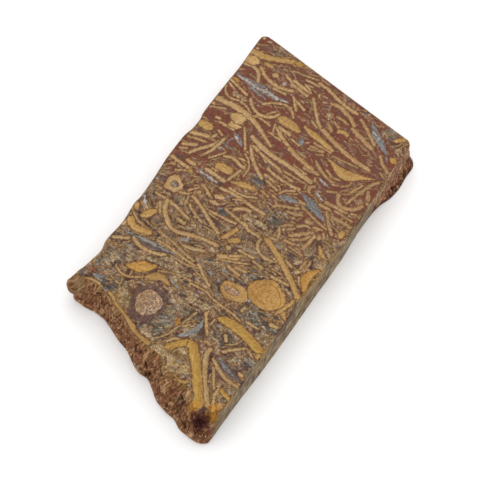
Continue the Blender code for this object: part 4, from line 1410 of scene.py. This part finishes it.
def wall_finish():
    """Saw cut and crust, blended by how rough the wall is."""
    look = Finish("wall")
    wall = look.attribute("wall", "Vector")
    along, height, _ = look.split(wall)
    rough = look.attribute("rough")
    relief_here = look.attribute("relief")
    spot = look.spot
    grit = look.noise(spot, 0.4, 3.0, 0.6)
    lumps = look.noise(look.stretched(look.turned(wall, 0.4), 0.55, 1.3), 1.0, 2.0, 0.6)

    streaks = look.noise(look.stretched(wall, 7.0, 0.9), 1.0, 4.0, 0.6)
    cloud = look.noise(look.stretched(look.turned(wall, 0.5), 1.6, 3.4), 1.0, 3.0, 0.6)
    saw_tone = streaks * 0.45 + cloud * 0.55
    sawn = look.shades(saw_tone, (0.39, 68, 48, 30), (0.46, 118, 96, 67), (0.53, 144, 122, 87),
                       (0.62, 190, 169, 134))
    sawn = look.tint(sawn, look.ramp(grit, [(0.3, 0.8), (0.7, 1.2)]))
    reddish = look.step(along * 0.01 + look.around(look.noise(spot, 6.0, 2.0), 0.25), 0.62, 1.0)
    sawn = look.tint(sawn, (1.0, 0.78, 0.72), reddish * 0.5)
    tints = look.shades(lumps, (0.35, 130, 90, 44), (0.65, 192, 148, 84))
    for x, radius in ((-44.0, 3.0), (-26.2, 3.4), (-4.5, 3.4), (2.0, 4.2), (10.5, 2.4)):
        sawn = look.stain(sawn, tints, 0.8, (x, FACE_EDGE, THICKNESS), radius)
    # Painted shade: dark patches along the top edge of the front wall
    for x, radius in ((-38.0, 2.4), (-18.5, 3.2), (-12.0, 5.0), (24.0, 3.0)):
        sawn = look.stain(sawn, shade(90, 58, 40), 0.75, (x, FACE_EDGE, THICKNESS), radius)

    fibres = look.noise(look.stretched(look.turned(wall, 0.45), 0.8, 3.2), 1.0, 3.0, 0.6)
    broad = look.noise(look.stretched(look.turned(wall, 0.45), 3.0, 5.0), 1.0, 3.0)
    rust = look.shades(broad, (0.36, 160, 110, 84), (0.46, 140, 96, 70), (0.53, 158, 114, 84),
                       (0.62, 184, 144, 106))
    crust = look.tint(rust, look.ramp(lumps, [(0.34, (0.46, 0.4, 0.32)), (0.46, (0.88, 0.86, 0.82)),
                                              (0.6, (1.4, 1.45, 1.55))]))
    crust = look.tint(crust, look.ramp(fibres, [(0.36, (0.48, 0.41, 0.33)), (0.48, (0.98, 0.96, 0.92)),
                                                (0.62, (1.45, 1.5, 1.58))]))
    easting = look.step(look.split(spot)[0], 20.0, 32.0)
    crust = look.tint(crust, (1.06, 1.26, 1.58), easting * look.step(height, 2.0, 5.0))
    foot = look.step(height + look.around(lumps, 4.0), 3.2, 0.8)
    crust = look.mix(easting * foot * 0.75, crust, shade(74, 44, 30))
    crust = look.tint(crust, look.ramp(grit, [(0.3, 0.8), (0.7, 1.25)]))
    # Painted shade: the pits and hollows of the crust darker by their depth
    pit_shade = look.step(relief_here * -1.0 + look.around(grit, 0.15), 0.1, 0.42)
    crust = look.mix(pit_shade * 0.85, crust, shade(60, 32, 18))
    # Painted highlight: the raised grains of the crust paler by their height
    high = look.step(relief_here + look.around(lumps, 0.25), 0.06, 0.24)
    crust = look.mix(high * 0.55, crust, shade(176, 142, 110))
    for place_on_wall in ((-50.4, -2.2, 2.6), (-46.0, 5.6, 2.0)):
        crust = look.stain(crust, shade(206, 180, 158), 0.8, place_on_wall, 1.7)
    near_top = look.step(height + look.around(look.noise(spot, 2.0, 4.0), 3.2), 8.2, 10.2)
    crust = look.mix(near_top * 0.75, crust, look.shades(lumps, (0.35, 116, 84, 54), (0.5, 160, 126, 82),
                                                         (0.65, 190, 158, 110)))
    for place_on_wall, radius in (((-52.4, -17.6, 9.0), 2.4), ((-50.5, -23.6, 8.5), 2.6)):
        crust = look.stain(crust, look.shades(lumps, (0.35, 150, 88, 26), (0.5, 192, 134, 52),
                                              (0.65, 206, 160, 84)), 0.8, place_on_wall, radius)
    crust = look.stain(crust, look.shades(lumps, (0.35, 118, 88, 58), (0.5, 156, 124, 90),
                                          (0.65, 188, 160, 124)), 0.6, (-37.8, 32.0, 8.5), 5.2)
    crust = look.stain(crust, shade(88, 58, 42), 0.6, (-55.6, -24.0, 5.0), 4.6)
    # Painted shade in the hollow near the front left corner
    crust = look.stain(crust, shade(80, 48, 29), 0.9, *HOLLOW_SHADE)
    share = look.step(rough + look.around(look.noise(spot, 1.5, 3.0), 0.15), 0.12, 0.32)
    colour = look.mix(share, sawn, crust)
    roughness = look.ramp(share, [(0.0, 0.5), (1.0, 0.74)])
    bump = look.noise(spot, 0.35, 4.0, 0.65) * (share + 0.12) + streaks * 0.08
    return look.finish(colour, roughness, bump, RIND_GRAIN)


wall_stone = wall_finish()
slab.data.materials.append(wall_stone)
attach(slab, "root")
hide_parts("mariam_jasper_slab")
print(len(wall_stone.node_tree.nodes), "nodes in the wall")

# %% [markdown]
# ## Grains and stubs on the rind
#
# Where the stone broke, stubs of stems and grains of silica stand out of the crust, many hundreds
# of them. Geometry nodes sow them over a skin of the rind: one stub, many times, each turned and
# sized by seed and sunk halfway in. Once made, the stubs become plain mesh.

# %% The skin that the stubs are sown on
LOWEST, HIGHEST, HIGHEST_ON_LEDGE = 0.08, 0.93, 0.5    # shares of the wall's height
ROUGH_RIND, ROUGH_LEDGE = 0.62, 0.5       # roughness from which stubs grow
KNOB = 30.0               # y from which the rind is a bare knob


def rind_skin():
    """Quads of the rough parts of the wall, clear of both sawn faces."""
    verts, quads = [], []
    for level, (spots, _) in enumerate(wall_loops):
        verts += [(spot + SHIFT) * MM for spot in spots]
        for index, (*_, rough, profile) in enumerate(columns):
            ledge = profile > SAWN
            highest = HIGHEST_ON_LEDGE if ledge else HIGHEST
            rough_enough = rough > (ROUGH_LEDGE if ledge else ROUGH_RIND)
            if LOWEST * LEVELS < level < highest * LEVELS and rough_enough and spots[index].y <= KNOB:
                after = (index + 1) % len(columns)
                above, below = level * len(columns), (level - 1) * len(columns)
                quads.append([below + index, below + after, above + after, above + index])
    skin_mesh = bpy.data.meshes.new("rind_skin")
    skin_mesh.from_pydata(verts, [], quads)
    print(len(quads), "quads of rind")
    return show("rind_skin", skin_mesh)


# %% The tree that sows them, as Geometry Nodes
def sowing_tree(material):
    """Geometry nodes: a stub on many points of a surface, as plain mesh."""
    tree = bpy.data.node_groups.new("sow_stubs", "GeometryNodeTree")
    tree.interface.new_socket("Geometry", in_out="INPUT", socket_type="NodeSocketGeometry")
    for name, kind in (("Stubs per square metre", "Float"), ("Smallest stub", "Vector"),
                       ("Largest stub", "Vector"), ("Roughness", "Float"), ("Seed", "Int")):
        tree.interface.new_socket(name, in_out="INPUT", socket_type="NodeSocket" + kind)
    tree.interface.new_socket("Geometry", in_out="OUTPUT", socket_type="NodeSocketGeometry")

    def add(kind, feeds=None, **settings):
        return add_node(tree, kind, feeds, **settings)

    given = tree.nodes.new("NodeGroupInput").outputs
    points = add("GeometryNodeDistributePointsOnFaces", {
        "Mesh": given["Geometry"], "Density": given["Stubs per square metre"], "Seed": given["Seed"]})
    stub = add("GeometryNodeMeshIcoSphere", {"Radius": 1.0, "Subdivisions": 2}).outputs["Mesh"]
    upright = add("FunctionNodeAlignRotationToVector", {"Vector": points.outputs["Normal"]}, axis="Z")
    sloping = add("FunctionNodeAlignRotationToVector", {
        "Rotation": upright.outputs["Rotation"], "Vector": (0.0, 0.0, 1.0)}, axis="X", pivot_axis="Z")
    size = add("FunctionNodeRandomValue", {
        0: given["Smallest stub"], 1: given["Largest stub"], "Seed": given["Seed"]},
        data_type="FLOAT_VECTOR")
    placed_stubs = add("GeometryNodeInstanceOnPoints", {
        "Points": points.outputs["Points"], "Instance": stub,
        "Rotation": sloping.outputs["Rotation"], "Scale": size.outputs[0]})
    turn = add("FunctionNodeRandomValue", {0: (-0.1, -0.08, -1.0), 1: (0.1, 0.08, 0.4), "Seed": 3},
               data_type="FLOAT_VECTOR")
    turned = add("GeometryNodeRotateInstances", {
        "Instances": placed_stubs.outputs["Instances"], "Rotation": turn.outputs[0]})
    tint = add("FunctionNodeRandomValue", {"Seed": 7}, data_type="FLOAT")
    tinted = add("GeometryNodeStoreNamedAttribute", {
        "Geometry": turned.outputs["Instances"], "Name": "tint", "Value": tint.outputs[1]},
        data_type="FLOAT", domain="INSTANCE")
    plain = add("GeometryNodeRealizeInstances", {"Geometry": tinted.outputs["Geometry"]})
    bumps = add("ShaderNodeTexNoise", {"Scale": 1.0 / (0.55 * MM), "Detail": 1.0}, normalize=False)
    reach = add("ShaderNodeVectorMath", {0: bumps.outputs["Color"], "Scale": given["Roughness"]},
                operation="SCALE")
    rough = add("GeometryNodeSetPosition", {
        "Geometry": plain.outputs["Geometry"], "Offset": reach.outputs["Vector"]})
    finished = add("GeometryNodeSetMaterial", {"Geometry": rough.outputs["Geometry"], "Material": material})
    tree.links.new(finished.outputs["Geometry"], tree.nodes.new("NodeGroupOutput").inputs["Geometry"])
    return tree


# %% Finish of the stubs
def stub_finish():
    """Grains of the crust: some rusty, some pale, each with its own tint."""
    look = Finish("rind_stubs")
    tint = look.attribute("tint")
    grit = look.noise(look.spot, 0.4, 3.0, 0.6)
    tone = tint * 0.7 + grit * 0.4
    colour = look.shades(tone, (0.2, 110, 70, 48), (0.45, 146, 100, 72), (0.65, 164, 120, 88),
                         (0.85, 192, 158, 122))
    # Painted shade in the hollow near the front left corner, on the stubs there too
    colour = look.stain(colour, shade(86, 53, 33), 0.85, *HOLLOW_SHADE)
    return look.finish(colour, look.ramp(grit, [(0.3, 0.66), (0.7, 0.78)]),
                       look.noise(look.spot, 0.25, 3.0), STUB_GRAIN)


stub_stone = stub_finish()
print(len(stub_stone.node_tree.nodes), "nodes in the stubs")

# %% Sow the stubs
skin = rind_skin()
tree = sowing_tree(stub_stone)
sowing = skin.modifiers.new("sow_stubs", "NODES")
sowing.node_group = tree
STUB_COUNT = 0.7e6        # per square metre
wanted = {"Stubs per square metre": STUB_COUNT, "Smallest stub": (0.25 * MM, 0.14 * MM, 0.1 * MM),
          "Largest stub": (0.85 * MM, 0.32 * MM, 0.22 * MM), "Roughness": 0.08 * MM, "Seed": 5}
for item in tree.interface.items_tree:
    if item.in_out == "INPUT" and item.name in wanted:
        value = wanted[item.name]
        if isinstance(value, tuple):
            for axis, share in enumerate(value):
                sowing[item.identifier][axis] = share
        else:
            sowing[item.identifier] = value
skin.update_tag()
graph = bpy.context.evaluated_depsgraph_get()
stub_mesh = bpy.data.meshes.new_from_object(skin.evaluated_get(graph))
bpy.data.objects.remove(skin)
stubs = show("rind_stubs", stub_mesh)
for polygon in stub_mesh.polygons:
    polygon.use_smooth = True
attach(stubs, "root")
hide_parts("mariam_jasper_slab")
print("stubs of", len(stub_mesh.polygons), "triangles")

# %% [markdown]
# ## Floor, light and camera
#
# The stone lies on a seamless white floor under a large soft light, high at the far right. Its
# faint shadow falls to the left and towards the camera. The floor has to come out pure white.

# %% Floor
FLOOR_HALF = 1.5          # metres from the middle to each side
PAPER_GRAIN = 0.00001     # depth of its bumps, in metres
floor_mesh = bpy.data.meshes.new("floor")
corners = [(x * FLOOR_HALF, y * FLOOR_HALF, 0.0) for x, y in ((-1, -1), (1, -1), (1, 1), (-1, 1))]
floor_mesh.from_pydata(corners, [], [(0, 1, 2, 3)])
floor = show("floor", floor_mesh)
paper = Finish("white_paper")
paper.finish(paper.ramp(paper.noise(paper.spot, 40.0), [(0.0, 0.95), (1.0, 0.97)]),
             paper.ramp(paper.noise(paper.spot, 2.0), [(0.0, 0.8), (1.0, 0.85)]),
             paper.noise(paper.spot, 0.5), PAPER_GRAIN)
floor_mesh.materials.append(paper.material)
print("floor of", 2.0 * FLOOR_HALF, "m")

# %% Light
ROOM_LIGHT = 0.99
BOX_FROM, BOX_DISTANCE, BOX_SIZE, BOX_POWER = Vector((0.78, 0.25, 1.0)).normalized(), 1.0, 1.2, 4.25
world = bpy.data.worlds.new("studio")
bpy.context.scene.world = world
world.use_nodes = True
background = world.node_tree.nodes["Background"]
background.inputs["Color"].default_value = (1.0, 1.0, 1.0, 1.0)
background.inputs["Strength"].default_value = ROOM_LIGHT


def aim(thing, spot, back, distance):
    """Put a light or a camera at a distance from a spot, looking at it."""
    thing.location = spot + back * distance
    thing.rotation_mode = "QUATERNION"
    thing.rotation_quaternion = back.to_track_quat("Z", "Y")


lamp = bpy.data.lights.new("soft_box", "AREA")
lamp.energy = BOX_POWER
lamp.size = BOX_SIZE
aim(show("soft_box", lamp), Vector(), BOX_FROM, BOX_DISTANCE)
bpy.context.scene.view_settings.view_transform = "Standard"
print("soft box of", BOX_SIZE, "m and", BOX_POWER, "W")

# %% Camera
AZIMUTH, ELEVATION = math.radians(-57.2), math.radians(62.0)
DISTANCE = 0.6            # close, so the far end is a little smaller
LENS, SENSOR = 155.25, 36.0
sideways = math.cos(ELEVATION)
back = Vector((math.sin(AZIMUTH) * sideways, -math.cos(AZIMUTH) * sideways, math.sin(ELEVATION)))
camera = show("camera", bpy.data.cameras.new("camera"))
camera.data.lens = LENS
camera.data.sensor_width = SENSOR
aim(camera, place((0.0, 0.0, THICKNESS)), back, DISTANCE)
bpy.context.scene.camera = camera
print("camera at", [round(value, 3) for value in camera.location])
